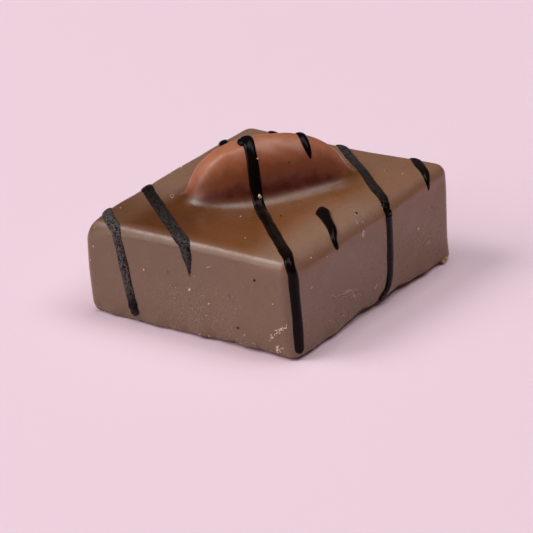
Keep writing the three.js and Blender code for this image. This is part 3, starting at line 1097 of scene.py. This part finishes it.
@dataclass
class Coat:
    """The milk-chocolate coat: a sphere's rings laid from the nut's crest to the base's middle."""

    form: CoatForm
    finish: MilkChocolate = MilkChocolate()
    per_side: int = 110  # columns along each of the four sides, its corner included
    per_corner: int = 22
    nut_foot: float = math.radians(76)  # down from the crest to where the valley begins
    valley_reach: float = 2.2  # how far out the rings of that valley go
    nut_rings: int = 42
    valley_rings: int = 26
    top_rings: int = 36
    rim_rings: int = 22
    side_rings: int = 54
    foot_rings: int = 14
    base_rings: int = 4
    most_inset: float = 0.95  # of a ring at the rim or the foot, as a share of the corner's radius

    def bands(self) -> list[tuple[int, Callable[[Array, Array], Seeds]]]:
        """Each band's number of rings and how its rings are placed, from crest to base."""
        return [
            (self.nut_rings, self.nut_ring),
            (self.valley_rings, self.valley_ring),
            (self.top_rings, self.top_ring),
            (self.rim_rings, self.rim_ring),
            (self.side_rings, self.side_ring),
            (self.foot_rings, self.foot_ring),
            (self.base_rings, self.base_ring),
        ]

    def outline(self, index: Array, inset: Array) -> Seeds:
        """A point on the block's outline seen from above, and the way the outline faces.

        Args:
            index: Places round the block, in columns.
            inset: How far inside the outline the point lies.

        Returns:
            The places and the way they face.
        """
        block = self.form.block
        quarter = np.floor(index / self.per_side) % 4 * QUARTER_TURN
        step = index % self.per_side
        straight = self.per_side - self.per_corner
        facing = quarter + np.maximum(step - straight, 0) / self.per_corner * QUARTER_TURN
        cos, sin = np.rint(np.cos(quarter)), np.rint(np.sin(quarter))
        out = (np.abs(cos) * block.x + np.abs(sin) * block.y) / 2 - block.corner
        half_run = (np.abs(sin) * block.x + np.abs(cos) * block.y) / 2 - block.corner
        run = (np.minimum(step / straight, 1) * 2 - 1) * half_run
        flat = np.zeros_like(index)
        outward = np.stack([np.cos(facing), np.sin(facing), flat], -1)
        point = np.stack([cos * out - sin * run, sin * out + cos * run, flat], -1)
        return point + outward * np.asarray(block.corner - inset)[..., None], outward

    def nut_angle(self, index: Array) -> Array:
        """The angle round the nut for a point of the outline: its tips face two corners."""
        return (index + self.per_corner / 2 - self.per_side) * math.pi / (2 * self.per_side)

    def inset(self, index: Array, radius_at: Callable[[Array, Array], Array]) -> Array:
        """How far in from a point of the outline the rim begins or the foot ends.

        Args:
            index: Place round the block, in columns.
            radius_at: The radius of that edge at a place seen from above.

        Returns:
            The distance in mm, less than the corner's radius.
        """
        point, _ = self.outline(index, np.zeros_like(index))
        radius = radius_at(point[..., 0], point[..., 1])
        return np.minimum(radius, self.most_inset * self.form.block.corner)

    def nut_ring(self, index: Array, share: Array) -> Seeds:
        """Down the nut, from its crest to just above its foot."""
        return self.form.nut.at(self.nut_angle(index), self.nut_foot * share)

    def valley_end(self, index: Array) -> Array:
        """Where the valley round the nut has run out onto the top."""
        foot, facing = self.form.nut.at(self.nut_angle(index), np.full_like(index, QUARTER_TURN))
        return self.on_top(foot + unit(facing * [1, 1, 0]) * self.valley_reach)

    def on_top(self, point: Array) -> Array:
        """The point brought to the height of the block's top."""
        return point * [1, 1, 0] + np.array([0, 0, self.form.block.z])

    def valley_ring(self, index: Array, share: Array) -> Seeds:
        """Down off the nut and round the valley, onto the top.

        Args:
            index: Places round the block, in columns.
            share: How far down the band they lie, as a share.

        Returns:
            The places and the way they face.
        """
        start, facing = self.nut_ring(index, np.ones_like(index))
        start = self.form.onto(start, facing)
        outward = mix(facing, np.array([0.0, 0.0, 1.0]), share[..., None])
        return mix(start, self.valley_end(index), share[..., None]), unit(outward)

    def top_ring(self, index: Array, share: Array) -> Seeds:
        """Over the top, from the valley to where the rim begins to fall.

        Args:
            index: Places round the block, in columns.
            share: How far down the band they lie, as a share.

        Returns:
            The places and the way they face.
        """
        outer, _ = self.outline(index, self.inset(index, self.form.block.rim_radius))
        point = self.on_top(mix(self.valley_end(index), outer, share[..., None]))
        return point, np.broadcast_to([0.0, 0.0, 1.0], point.shape)

    def edge_ring(self, index: Array, radius: Array, height: Array, angle: Array) -> Seeds:
        """Round an edge of the block.

        Args:
            index: Place round the block, in columns.
            radius: The radius of the edge there.
            height: Height of the middle of its rounding.
            angle: The way it faces, 0 for up and a quarter turn for out.

        Returns:
            The places and the way they face.
        """
        point, outward = self.outline(index, radius)
        facing = outward * np.sin(angle)[..., None]
        facing[..., 2] = np.cos(angle)
        point[..., 2] = height
        return point + facing * radius[..., None], facing

    def rim_ring(self, index: Array, share: Array) -> Seeds:
        """Round the rim, from facing up to facing out."""
        radius = self.inset(index, self.form.block.rim_radius)
        return self.edge_ring(index, radius, self.form.block.z - radius, share * QUARTER_TURN)

    def side_ring(self, index: Array, share: Array) -> Seeds:
        """Down the side to just above the foot.

        Args:
            index: Places round the block, in columns.
            share: How far down the band they lie, as a share.

        Returns:
            The places and the way they face.
        """
        block = self.form.block
        point, outward = self.outline(index, np.zeros_like(index))
        highest = block.z - self.inset(index, block.rim_radius)
        point[..., 2] = mix(highest, self.inset(index, block.foot_radius), share)
        return point, outward

    def foot_ring(self, index: Array, share: Array) -> Seeds:
        """Round the foot, from facing out to facing down."""
        foot = self.inset(index, self.form.block.foot_radius)
        return self.edge_ring(index, foot, foot, (1 + share) * QUARTER_TURN)

    def base_ring(self, index: Array, share: Array) -> Seeds:
        """Over the flat base to its middle."""
        point, _ = self.outline(index, self.inset(index, self.form.block.foot_radius))
        return point * (1 - share)[..., None], np.broadcast_to([0.0, 0.0, -1.0], point.shape)

    def seeds(self, ring: Array, column: Array) -> Seeds:
        """Where each vertex starts, and the direction in which it moves onto the coat.

        Args:
            ring: Each vertex's ring.
            column: Each vertex's column.

        Returns:
            The places and the directions.
        """
        points = np.zeros((len(ring), 3))
        outward = np.zeros((len(ring), 3))
        first = 0
        for rings, place in self.bands():
            chosen = (ring >= first) & (ring <= first + rings)
            share = (ring[chosen] - first) / rings
            points[chosen], outward[chosen] = place(column[chosen], share)
            first += rings
        return points, outward

    def build(self) -> bpy.types.Object:
        """Makes the coat's mesh and dresses it.

        Returns:
            The piece.
        """
        rings = sum(count for count, _ in self.bands())
        mesh, ring, column = sphere_mesh("milk_chocolate_coat", 4 * self.per_side, rings)
        points = self.form.onto(*self.seeds(ring, column))
        move_to(mesh, points)
        form = self.form
        # Several of these measures carry painted light and shade: the paling towards +X, the sheen
        # on the top and rim, part of the sides' haze, and the nut's dark foot and pale crest.
        for measure in (form.over_nut, form.up_nut, form.haze_and_sheen, form.painted_sheen, form.painted_light_right, form.dust):
            add_attribute(mesh, measure.__name__, measure(points))
        return show(mesh, self.finish.material())


# ---- The strands ----


@dataclass(frozen=True)
class Strand:
    """One straight pass of the nozzle over the block, seen from above.

    Where start or end is left out, the strand runs on over the edge and down the side.
    """

    name: str
    offset: float  # distance from the block's middle, square to the heading
    widths: tuple[float, float, float]  # at its start, middle and end
    heights: tuple[float, float]  # how far it stands above the coat at its start and end
    start: float | None = None  # places along the heading
    end: float | None = None
    start_down: float = 0.0  # how far below the top it starts or ends
    end_down: float = 0.0
    turn: float = 0.0  # degrees that this pass differs from the others
    bend: tuple[float, float] = (0.0, 1.0)  # how far aside it veers at its end, over what length
    lean: float = 0.0  # how far along +X or +Y it has drifted when it reaches the foot
    late: float = 4.0  # 1 drifts evenly on the way down, more drifts mostly near the foot
    rubbed_and_sheen: tuple[float, float] = (0.0, 0.0)  # share of it that is grey at its start and end: gloss worn off, and painted sheen
    head: float = 0.7  # lengths of its rounded start and end
    tail: float = 0.7
    crumpled: tuple[float, float] = (0.0, 0.0)  # a crumpled stretch: distance from the end, length


STRANDS = (
    Strand("strand_left", -19.4, (0.7, 1.5, 1.35), (0.12, 0.26), start_down=9.5, end_down=12.1,
           lean=2.4, late=0.75, rubbed_and_sheen=(1.0, 1.0), crumpled=(1.4, 1.4)),
    Strand("strand_left_inner", -13.15, (0.9, 1.7, 0.4), (0.16, 0.24), start_down=7.5, end_down=4.4,
           turn=3.7, lean=1.2, late=0.6, rubbed_and_sheen=(0.0, 0.55), tail=0.5),
    Strand("strand_over_nut", -1.95, (0.9, 1.5, 1.45), (0.24, 0.26), start_down=10.8, end_down=12.0,
           lean=0.5, late=0.3),
    Strand("strand_crest_blob", -2.75, (0.9, 1.0, 0.9), (0.3, 0.3), -1.0, 0.5),
    Strand("strand_nut_back", 4.7, (0.9, 1.3, 0.9), (0.24, 0.24), end=1.5, start_down=6.5,
           bend=(0.45, 2.2), tail=2.0),
    Strand("strand_drop", 4.6, (1.95, 1.2, 0.8), (0.6, 0.3), start=8.5, end_down=1.7, head=0.95,
           tail=0.5),
    Strand("strand_right", 12.1, (0.9, 1.3, 1.25), (0.5, 0.26), start_down=9.0, end_down=12.1,
           turn=2.0, lean=-3.3, late=8.0, rubbed_and_sheen=(0.6, 0.1), crumpled=(11.9, 1.4)),
    Strand("strand_back", 18.9, (0.9, 1.3, 0.9), (0.24, 0.2), start_down=5.0, end_down=1.5,
           rubbed_and_sheen=(0.4, 0.0), tail=2.0),
)


@dataclass
class Strands:
    """The dark-chocolate strands, each a sphere drawn out along its path over the coat."""

    form: CoatForm
    finish: DarkChocolate = DarkChocolate()
    heading: float = math.radians(-42)  # the way the nozzle passed, seen from above
    taper: float = 3.2  # length over which a strand's end takes its own width
    sink: float = 0.16  # how deep its widest line lies in the coat
    lowest: float = 0.75  # a strand's middle stops this far above the base
    path_step: float = 0.05
    farthest: float = 30.0  # a pass is sought this far either way from the block's middle
    evening: float = 2.0  # length over which small bends of the path are smoothed
    section_step: float = 0.14
    around: int = 24
    flatness: float = 0.85  # 1 is a half circle, less is a flatter ribbon
    crease_depth: float = 0.16
    rise_over: float = 10.0  # length over which its height goes from the start's to the end's
    cap_steps: int = 9  # sections round each end
    thinning: float = 0.15  # how much of its height is left where its width runs out
    waver: float = 0.04  # share that its width wavers by
    fine_waver: float = 0.02
    thin_below: float = 0.3  # a strand narrower than this sinks into the coat

    def path(self, strand: Strand) -> Array:
        """The close points that a strand follows over the coat.

        Args:
            strand: The strand.

        Returns:
            The points, one a row.
        """
        block, nut = self.form.block, self.form.nut
        along = np.array([math.cos(self.heading), math.sin(self.heading), 0.0])
        aside = np.array([-along[1], along[0], 0.0])

        def over_block(reached: Array) -> Array:
            """Places along the pass, seen from above."""
            shift = strand.offset + math.tan(math.radians(strand.turn)) * reached
            return along * reached[:, None] + aside * shift[:, None]

        trial = np.arange(-self.farthest, self.farthest, self.path_step)
        shares = np.abs(over_block(trial)[:, :2]) / (np.array([block.x, block.y]) / 2)
        inside = np.flatnonzero(shares.max(1) < 1)
        enter, leave = trial[inside[0]], trial[inside[-1]]
        leaves_by_x = shares[inside[-1], 0] > shares[inside[-1], 1]
        sideways = np.array([0.0, 1.0, 0.0]) if leaves_by_x else np.array([1.0, 0.0, 0.0])
        first = enter - strand.start_down if strand.start is None else strand.start
        last = leave + strand.end_down if strand.end is None else strand.end
        reached = np.arange(first, last, self.path_step)
        over_top = np.clip(reached, enter, leave)
        down = np.abs(reached - over_top)
        drift = strand.lean * (np.maximum(reached - leave, 0) / block.z) ** strand.late
        veer, reach = strand.bend
        veer = veer * clamp01((reached - last) / reach + 1) ** 2
        points = over_block(over_top) + aside * veer[:, None] + sideways * drift[:, None]
        on_top = nut.height_over(points[:, 0], points[:, 1], block.z)
        points[:, 2] = np.where(down > 0, block.z - down, on_top)
        points = self.form.settle(points)
        too_low = np.flatnonzero((points[:, 2] < self.lowest) & (reached > first + block.z / 2))
        points = points[: too_low[0]] if len(too_low) else points
        return self.form.settle(self.evened(points, round(self.evening / self.path_step)))

    @staticmethod
    def evened(points: Array, reach: int) -> Array:
        """The points with their small bends smoothed over that many neighbours.

        Args:
            points: The points, one a row.
            reach: How many neighbours on each side.

        Returns:
            The smoothed points.
        """
        weights = np.hanning(2 * reach + 1)
        weights /= weights.sum()
        padded = np.pad(points, ((reach, reach), (0, 0)), mode="reflect", reflect_type="odd")
        return np.stack([np.convolve(padded[:, i], weights, "valid") for i in range(3)], -1)

    def sections(self, strand: Strand, length: float) -> Array:
        """Where a strand's sections stand along it, closer together round its ends.

        Args:
            strand: The strand.
            length: Its length.

        Returns:
            The sections' distances from its start.
        """
        steps = max(4, round((length - strand.head - strand.tail) / self.section_step))
        body = np.linspace(strand.head, length - strand.tail, steps)
        cap = 1 - np.cos(np.linspace(0, QUARTER_TURN, self.cap_steps)[:-1])
        return np.concatenate([strand.head * cap, body, length - strand.tail * cap[::-1]])

    def width(self, strand: Strand, place: Array, length: float) -> Array:
        """The strand's width at places along it.

        Args:
            strand: The strand.
            place: Distances from its start.
            length: Its length.

        Returns:
            The width at each place.
        """
        start, middle, end = strand.widths
        opening = mix(start, middle, smooth(place / self.taper))
        width = mix(end, opening, smooth((length - place) / self.taper))
        waver = self.waver * np.sin(1.1 * place + strand.offset)
        uneven = 1 + waver + self.fine_waver * np.sin(2.3 * place + 1.0)
        to_end = clamp01(np.minimum(place / strand.head, (length - place) / strand.tail))
        return width * uneven * np.sqrt(1 - (1 - to_end) ** 2)

    def build_one(self, strand: Strand, material: bpy.types.Material) -> bpy.types.Object:
        """Makes one strand's mesh and dresses it.

        Args:
            strand: The strand.
            material: Its material.

        Returns:
            The piece.
        """
        path = self.path(strand)
        steps = np.linalg.norm(np.diff(path, axis=0), axis=1)
        walked = np.concatenate([[0.0], np.cumsum(steps)])
        length = walked[-1]
        places = self.sections(strand, length)
        middles = np.stack([np.interp(places, walked, path[:, i]) for i in range(3)], -1)
        out = unit(self.form.slope(middles))
        aside = unit(np.cross(out, np.gradient(middles, axis=0)))
        width = self.width(strand, places, length)
        tall = mix(*strand.heights, smooth(places / min(length, self.rise_over)))
        height = tall * np.minimum(1, width / strand.widths[1] + self.thinning)

        mesh, ring, column = sphere_mesh(strand.name, self.around, len(places) - 1)
        ring = ring.astype(int)
        angle = column * (2 * math.pi / self.around)
        across = np.cos(angle) * width[ring] / 2
        dome = np.sign(np.sin(angle)) * np.abs(np.sin(angle)) ** self.flatness
        full = fade(width[ring], 0.0, self.thin_below)
        rise = dome * (height[ring] + self.sink) * full - self.sink
        middle, stretch = strand.crumpled
        crumpled = bell(length - places - middle, stretch)[ring] if stretch else np.zeros(len(ring))
        along = places[ring]
        # The factors fold the surface about every half millimetre along and five times round.
        creases = np.sin(9 * along + 3 * np.sin(2 * angle)) * np.sin(5 * angle + 4 * along)
        # the grey share along the strand: partly wear, partly painted sheen
        worn = mix(*strand.rubbed_and_sheen, smooth(places / length))[ring]
        rise = rise + self.crease_depth * creases * crumpled * (dome > 0)
        under = self.form.settle(middles[ring] + aside[ring] * across[:, None])
        points = under + unit(self.form.slope(under)) * rise[:, None]
        move_to(mesh, points)
        add_attribute(mesh, "rubbed_and_sheen", worn * (1 - clamp01(crumpled)))
        add_attribute(mesh, "crumpled", crumpled)
        return show(mesh, material)

    def build(self) -> list[bpy.types.Object]:
        """Makes all the strands."""
        material = self.finish.material()
        return [self.build_one(strand, material) for strand in STRANDS]


# ---- The camera ----


@dataclass(frozen=True)
class Camera:
    """The camera at the photograph's viewing angle, and its way of finding a place on the coat."""

    azimuth: float = math.radians(37.4)
    elevation: float = math.radians(23.1)
    roll: float = math.radians(-4.05)
    distance: float = 320.0
    aim: tuple[float, float, float] = (0.0, 0.0, 6.05)
    aim_pixel: tuple[float, float] = (271.0, 237.9)  # where the aimed point lies in the picture
    focal_pixels: float = 2662.0
    picture: float = 533.0  # pixels along each side of the picture
    sensor: float = 36.0
    ray_steps: int = 120  # a ray walks to the coat in so many steps
    ray_start: float = 0.88  # from this share of the distance
    ray_caution: float = 0.7  # each of them this share of the gap that is left
    ray_bounds: tuple[float, float] = (-1.0, 4.0)  # which counts as no less and no more than these
    touching: float = 0.05  # a ray that ends within this of the coat has found it
    clip: tuple[float, float] = (0.01, 10.0)  # in metres

    def axes(self) -> Array:
        """The picture's right, its up, and the way back to the camera, one row each.

        Returns:
            Three directions of length 1.
        """
        cos_a, sin_a = math.cos(self.azimuth), math.sin(self.azimuth)
        cos_e, sin_e = math.cos(self.elevation), math.sin(self.elevation)
        back = np.array([sin_a * cos_e, -cos_a * cos_e, sin_e])
        right = np.array([cos_a, sin_a, 0.0])
        up = np.cross(back, right)
        cos_r, sin_r = math.cos(self.roll), math.sin(self.roll)
        return np.array([cos_r * right + sin_r * up, cos_r * up - sin_r * right, back])

    def position(self) -> Array:
        """Where the camera stands."""
        return np.array(self.aim) + self.axes()[2] * self.distance

    def find(self, form: CoatForm, pixels: Array) -> tuple[Array, Array]:
        """Finds the places on the coat that the photograph's pixels show.

        Args:
            form: The form of the coat.
            pixels: One pixel of the photograph a row.

        Returns:
            The places, and whether each pixel shows the coat at all.
        """
        right, up, back = self.axes()
        across, down = (pixels - np.array(self.aim_pixel)).T / self.focal_pixels
        rays = unit(across[:, None] * right - down[:, None] * up - back)
        reached = np.full(len(pixels), self.distance * self.ray_start)
        for _ in range(self.ray_steps):
            gap = form.distance(self.position() + rays * reached[:, None])
            reached = reached + np.clip(gap, *self.ray_bounds) * self.ray_caution
        reached_points = self.position() + rays * reached[:, None]
        on_coat = form.distance(reached_points) < self.touching
        return form.settle(reached_points), on_coat

    def build(self) -> bpy.types.Object:
        """Makes the camera and hands it to the scene.

        Returns:
            The camera.
        """
        right, up, back = self.axes()
        centre = self.picture / 2
        per_pixel = self.distance / self.focal_pixels
        left_by = (self.aim_pixel[0] - centre) * per_pixel
        up_by = (centre - self.aim_pixel[1]) * per_pixel
        target = np.array(self.aim) - right * left_by - up * up_by
        place = self.position()
        toward = unit(place - target)
        side = unit(np.cross(up, toward))
        turned = Matrix(np.stack([side, np.cross(toward, side), toward], -1).tolist()).to_4x4()
        data = bpy.data.cameras.new("camera")
        data.sensor_width = self.sensor
        data.lens = self.focal_pixels * self.sensor / self.picture
        data.clip_start, data.clip_end = self.clip
        camera = bpy.data.objects.new("camera", data)
        camera.matrix_world = Matrix.Translation(place * METRES) @ turned
        bpy.context.scene.collection.objects.link(camera)
        bpy.context.scene.camera = camera
        log.info("camera: lens %.1f mm", data.lens)
        return camera


# ---- Crumbs, scuffs and specks ----


SCUFF_HEIGHT = 0.07  # how far a scuff's torn edge stands above the coat


@dataclass(frozen=True)
class Fleck:
    """A grain or a short scuff on the coat, from one pixel of the photograph to another."""

    start: tuple[float, float]
    end: tuple[float, float]
    width: float  # in mm, as the rest
    thickness: float
    above: float = 0.0  # height of the strand that it lies on


def dot(x: float, y: float, width: float, above: float = 0.0) -> Fleck:
    """A round grain, a little under one pixel of the photograph long."""
    return Fleck((x - 0.4, y), (x + 0.4, y), width, 0.6 * width, above)


def scratch(x: float, y: float, to_x: float, to_y: float, width: float = 0.14) -> Fleck:
    """A short shallow scuff."""
    return Fleck((x, y), (to_x, to_y), width, SCUFF_HEIGHT)


def strewn(seed: int, middle: tuple[float, float], spread: tuple[float, float], slant: float,
           count: int, longest: float, width: float) -> tuple[Fleck, ...]:
    """Short scuffs strewn over a patch.

    Args:
        seed: Which of the possible patches it is.
        middle: The patch's middle, in the photograph's pixels.
        spread: The patch's half width and half height in pixels, before it is slanted.
        slant: How far the patch falls for each pixel to the right.
        count: Number of scuffs.
        longest: Length of the longest in pixels.
        width: Their width in mm.

    Returns:
        The scuffs.
    """
    rng = np.random.default_rng(seed)
    flecks = []
    for _ in range(count):
        across, down = rng.uniform(-1, 1, 2) * np.array(spread)
        x, y = middle[0] + across, middle[1] + down + slant * across
        reach = rng.uniform(0.15, 1.0) * longest
        turn = rng.uniform(0, math.pi)
        end = (x + reach * math.cos(turn), y + reach * math.sin(turn))
        flecks.append(Fleck((x, y), end, width * rng.uniform(0.6, 1.3), SCUFF_HEIGHT))
    return tuple(flecks)


@dataclass
class Flecks:
    """Small flecks of one kind, each a sphere drawn out and roughened, joined in one mesh."""

    name: str
    flecks: tuple[Fleck, ...]
    finish: Mottled
    slot: Slot
    roughening: float = 0.16
    seed: int = 7

    def build(self, form: CoatForm, camera: Camera) -> bpy.types.Object:
        """Makes the flecks on the coat under their pixels.

        Args:
            form: The form of the coat.
            camera: The camera that the pixels belong to.

        Returns:
            The piece.
        """
        rng = np.random.default_rng(self.seed)
        starts, start_seen = camera.find(form, np.array([fleck.start for fleck in self.flecks]))
        ends, end_seen = camera.find(form, np.array([fleck.end for fleck in self.flecks]))
        middles = form.settle((starts + ends) / 2)
        outs = unit(form.slope(middles))
        bm = bmesh.new()
        for i in np.flatnonzero(start_seen & end_seen):
            fleck, middle, out = self.flecks[i], middles[i], outs[i]
            along = ends[i] - starts[i]
            aside = unit(np.cross(out, along))
            length = max(np.linalg.norm(along), fleck.width)
            made = bmesh.ops.create_icosphere(bm, subdivisions=2, radius=0.5)["verts"]
            axes = np.array([unit(np.cross(aside, out)) * length, aside * fleck.width,
                             out * fleck.thickness * 2])
            for vert in made:
                rough = 1 + self.roughening * rng.uniform(-1, 1)
                shape = np.array(vert.co) * rough @ axes
                vert.co = (middle + out * fleck.above + shape) * METRES
        mesh = bpy.data.meshes.new(self.name)
        bm.to_mesh(mesh)
        bm.free()
        return show(mesh, self.finish.material())


CRUMBS = (
    dot(144.4, 269.6, 0.30), dot(190.2, 289.4, 0.36), dot(209.4, 303.6, 0.34), dot(91, 260, 0.26),
    dot(93.4, 246.4, 0.22), dot(94.4, 228, 0.18), dot(240.6, 216.6, 0.16), dot(245.4, 238.4, 0.18),
    dot(182, 167.4, 0.26), dot(170.6, 174.4, 0.2), dot(120.6, 208, 0.2), dot(257.4, 159, 0.2, 0.2),
    Fleck((258.6, 195.0), (260.4, 199.6), 0.42, 0.3, 0.25), dot(311, 258, 0.16),
    dot(327, 257, 0.14), dot(311.6, 287.6, 0.18), dot(384.4, 171, 0.16), dot(402.4, 174, 0.2),
    dot(418, 228.6, 0.3), dot(245, 335, 0.26), dot(273, 304, 0.2),
    Fleck((275.5, 346.0), (280.5, 350.5), 0.3, 0.14),
    Fleck((279.5, 344.5), (277.0, 351.5), 0.26, 0.14),
    *strewn(3, (279, 331), (9, 3), -0.7, 26, 3.0, 0.16),
    *strewn(4, (278, 348), (4, 4), 0.0, 9, 2.5, 0.16),
)
GOLDEN = (
    Fleck((437, 265), (441, 262), 0.55, 0.3), Fleck((440, 262), (445, 258), 0.6, 0.35),
    Fleck((443, 261), (446, 256), 0.4, 0.3),
)
SCUFFS_AND_GLINTS = (
    scratch(226, 290, 230.5, 300, 0.12), scratch(206, 268, 212, 266, 0.16),
    scratch(170, 196, 172.4, 193.6, 0.1), scratch(172.4, 193.6, 174.6, 196, 0.1),
    scratch(174.6, 196, 172.2, 198.2, 0.1), scratch(172.2, 198.2, 170, 196, 0.1),
    scratch(416, 242, 418, 236, 0.12), scratch(423, 236, 426, 245, 0.12),
    scratch(426, 245, 431, 238, 0.1), scratch(431, 238, 433, 243, 0.12),
    scratch(429, 206, 430, 212, 0.12), scratch(432, 206, 433, 211, 0.1),
    scratch(361, 276, 363, 268, 0.14), scratch(345, 292, 352, 290, 0.3),
    scratch(352, 290, 356, 301, 0.26), scratch(331, 298, 345, 293, 0.14),
    # The second fleck here is a painted highlight: the pale spot where a small bump on +X catches
    # the light.
    Fleck((362.6, 230), (363.6, 238), 0.6, 0.05), Fleck((374.3, 289.2), (377.4, 283.4), 0.36, 0.12),
    *strewn(11, (360, 218), (5, 6), 0.3, 26, 3.5, 0.12),
    *strewn(12, (347, 294), (14, 4), -0.2, 26, 4.0, 0.13),
    *strewn(13, (344, 315), (14, 3), -0.45, 24, 3.5, 0.12),
    *strewn(14, (424, 238), (9, 8), 0.0, 14, 4.0, 0.1),
    *strewn(15, (205, 300), (48, 26), 0.12, 60, 2.0, 0.1),
    *strewn(16, (228, 339), (30, 2), 0.22, 26, 3.5, 0.14),
    # These pale flecks at the bend of the right strand are painted glints of its crumpled gloss.
    *strewn(17, (385, 209), (4, 9), 0.3, 14, 3.0, 0.1),
)
SPECKS = (
    dot(238, 328, 0.3), dot(254.5, 280.5, 0.3), dot(280.8, 216, 0.22), dot(356, 213.5, 0.34),
    # The two dots raised onto the left strand mark its small pits; their dark is painted shade.
    dot(168, 272, 0.16), dot(289, 162, 0.2), dot(346, 318, 0.16), dot(123.5, 267.6, 0.3, 0.24),
    dot(131, 293.5, 0.34, 0.24),
)

# ---- The studio ----


@dataclass(frozen=True)
class Softbox:
    """A large soft light, aimed at the bonbon."""

    name: str
    place: tuple[float, float, float]  # in metres
    size: tuple[float, float]  # width and height in metres
    brightness: float  # of its surface, where 1 is the brightness of white paper
    aim_height: float = 0.008  # in metres, a little above the middle of the block's sides

    def build(self) -> bpy.types.Object:
        """Makes the light.

        Returns:
            The light.
        """
        data = bpy.data.lights.new(self.name, "AREA")
        data.shape = "RECTANGLE"
        data.size, data.size_y = self.size
        data.energy = self.brightness * data.size * data.size_y * math.pi
        light = bpy.data.objects.new(self.name, data)
        light.location = self.place
        aim = Vector((0.0, 0.0, self.aim_height)) - light.location
        light.rotation_euler = aim.to_track_quat("-Z", "Y").to_euler()
        light.visible_camera = False
        bpy.context.scene.collection.objects.link(light)
        return light


@dataclass(frozen=True)
class Studio:
    """The pale floor, the pale room round it and the soft lights."""

    paper: StudioPaper = StudioPaper()
    floor_size: float = 8.0  # in metres
    room: str = "#f0e9ea"
    room_brightness: float = 0.05
    lights: tuple[Softbox, ...] = (
        Softbox("softbox_above", (0.0, 0.0, 1.6), (0.72, 0.72), 3.4),
        Softbox("softbox_back", (0.0, 0.6, 1.48), (0.72, 0.72), 1.7),
        Softbox("softbox_left", (-0.82, -0.54, 1.26), (0.72, 0.72), 4.8),
        Softbox("softbox_low_left", (-1.06, -0.61, 1.03), (0.8, 0.8), 0.8),
        Softbox("softbox_right", (0.69, 0.4, 1.39), (0.72, 0.72), 3.2),
        Softbox("softbox_front_left", (-0.8, -1.23, 0.65), (0.8, 1.1), 2.2),
    )

    def build(self) -> None:
        """Makes the floor, the room and the lights."""
        bm = bmesh.new()
        bmesh.ops.create_grid(bm, x_segments=1, y_segments=1, size=self.floor_size / 2)
        mesh = bpy.data.meshes.new("floor")
        bm.to_mesh(mesh)
        bm.free()
        mesh.materials.append(self.paper.material())
        floor = bpy.data.objects.new("floor", mesh)
        bpy.context.scene.collection.objects.link(floor)
        world = bpy.data.worlds.new("room")
        world.use_nodes = True
        background = world.node_tree.nodes["Background"]
        background.inputs["Color"].default_value = linear(self.room)
        background.inputs["Strength"].default_value = self.room_brightness
        bpy.context.scene.world = world
        bpy.context.scene.view_settings.view_transform = "Standard"
        for light in self.lights:
            light.build()
        log.info("studio: %d lights", len(self.lights))


def main() -> None:
    """Builds the bonbon and the studio."""
    logging.basicConfig(level=logging.INFO, format="%(name)s %(message)s")
    form = CoatForm()
    camera = Camera()
    camera.build()
    Studio().build()
    Coat(form).build()
    Strands(form).build()
    for flecks in (
        Flecks("pale_crumbs", CRUMBS, PALE_CRUMB, Slot.CRUMBS),
        Flecks("golden_flakes", GOLDEN, GOLDEN_FLAKE, Slot.CRUMBS),
        Flecks("pale_scuffs_and_glints", SCUFFS_AND_GLINTS, PALE_SCUFF_AND_GLINT, Slot.MILK),
        Flecks("dark_specks", SPECKS, DARK_SPECK, Slot.DARK),
    ):
        flecks.build(form, camera)


if __name__ == "__main__":
    main()
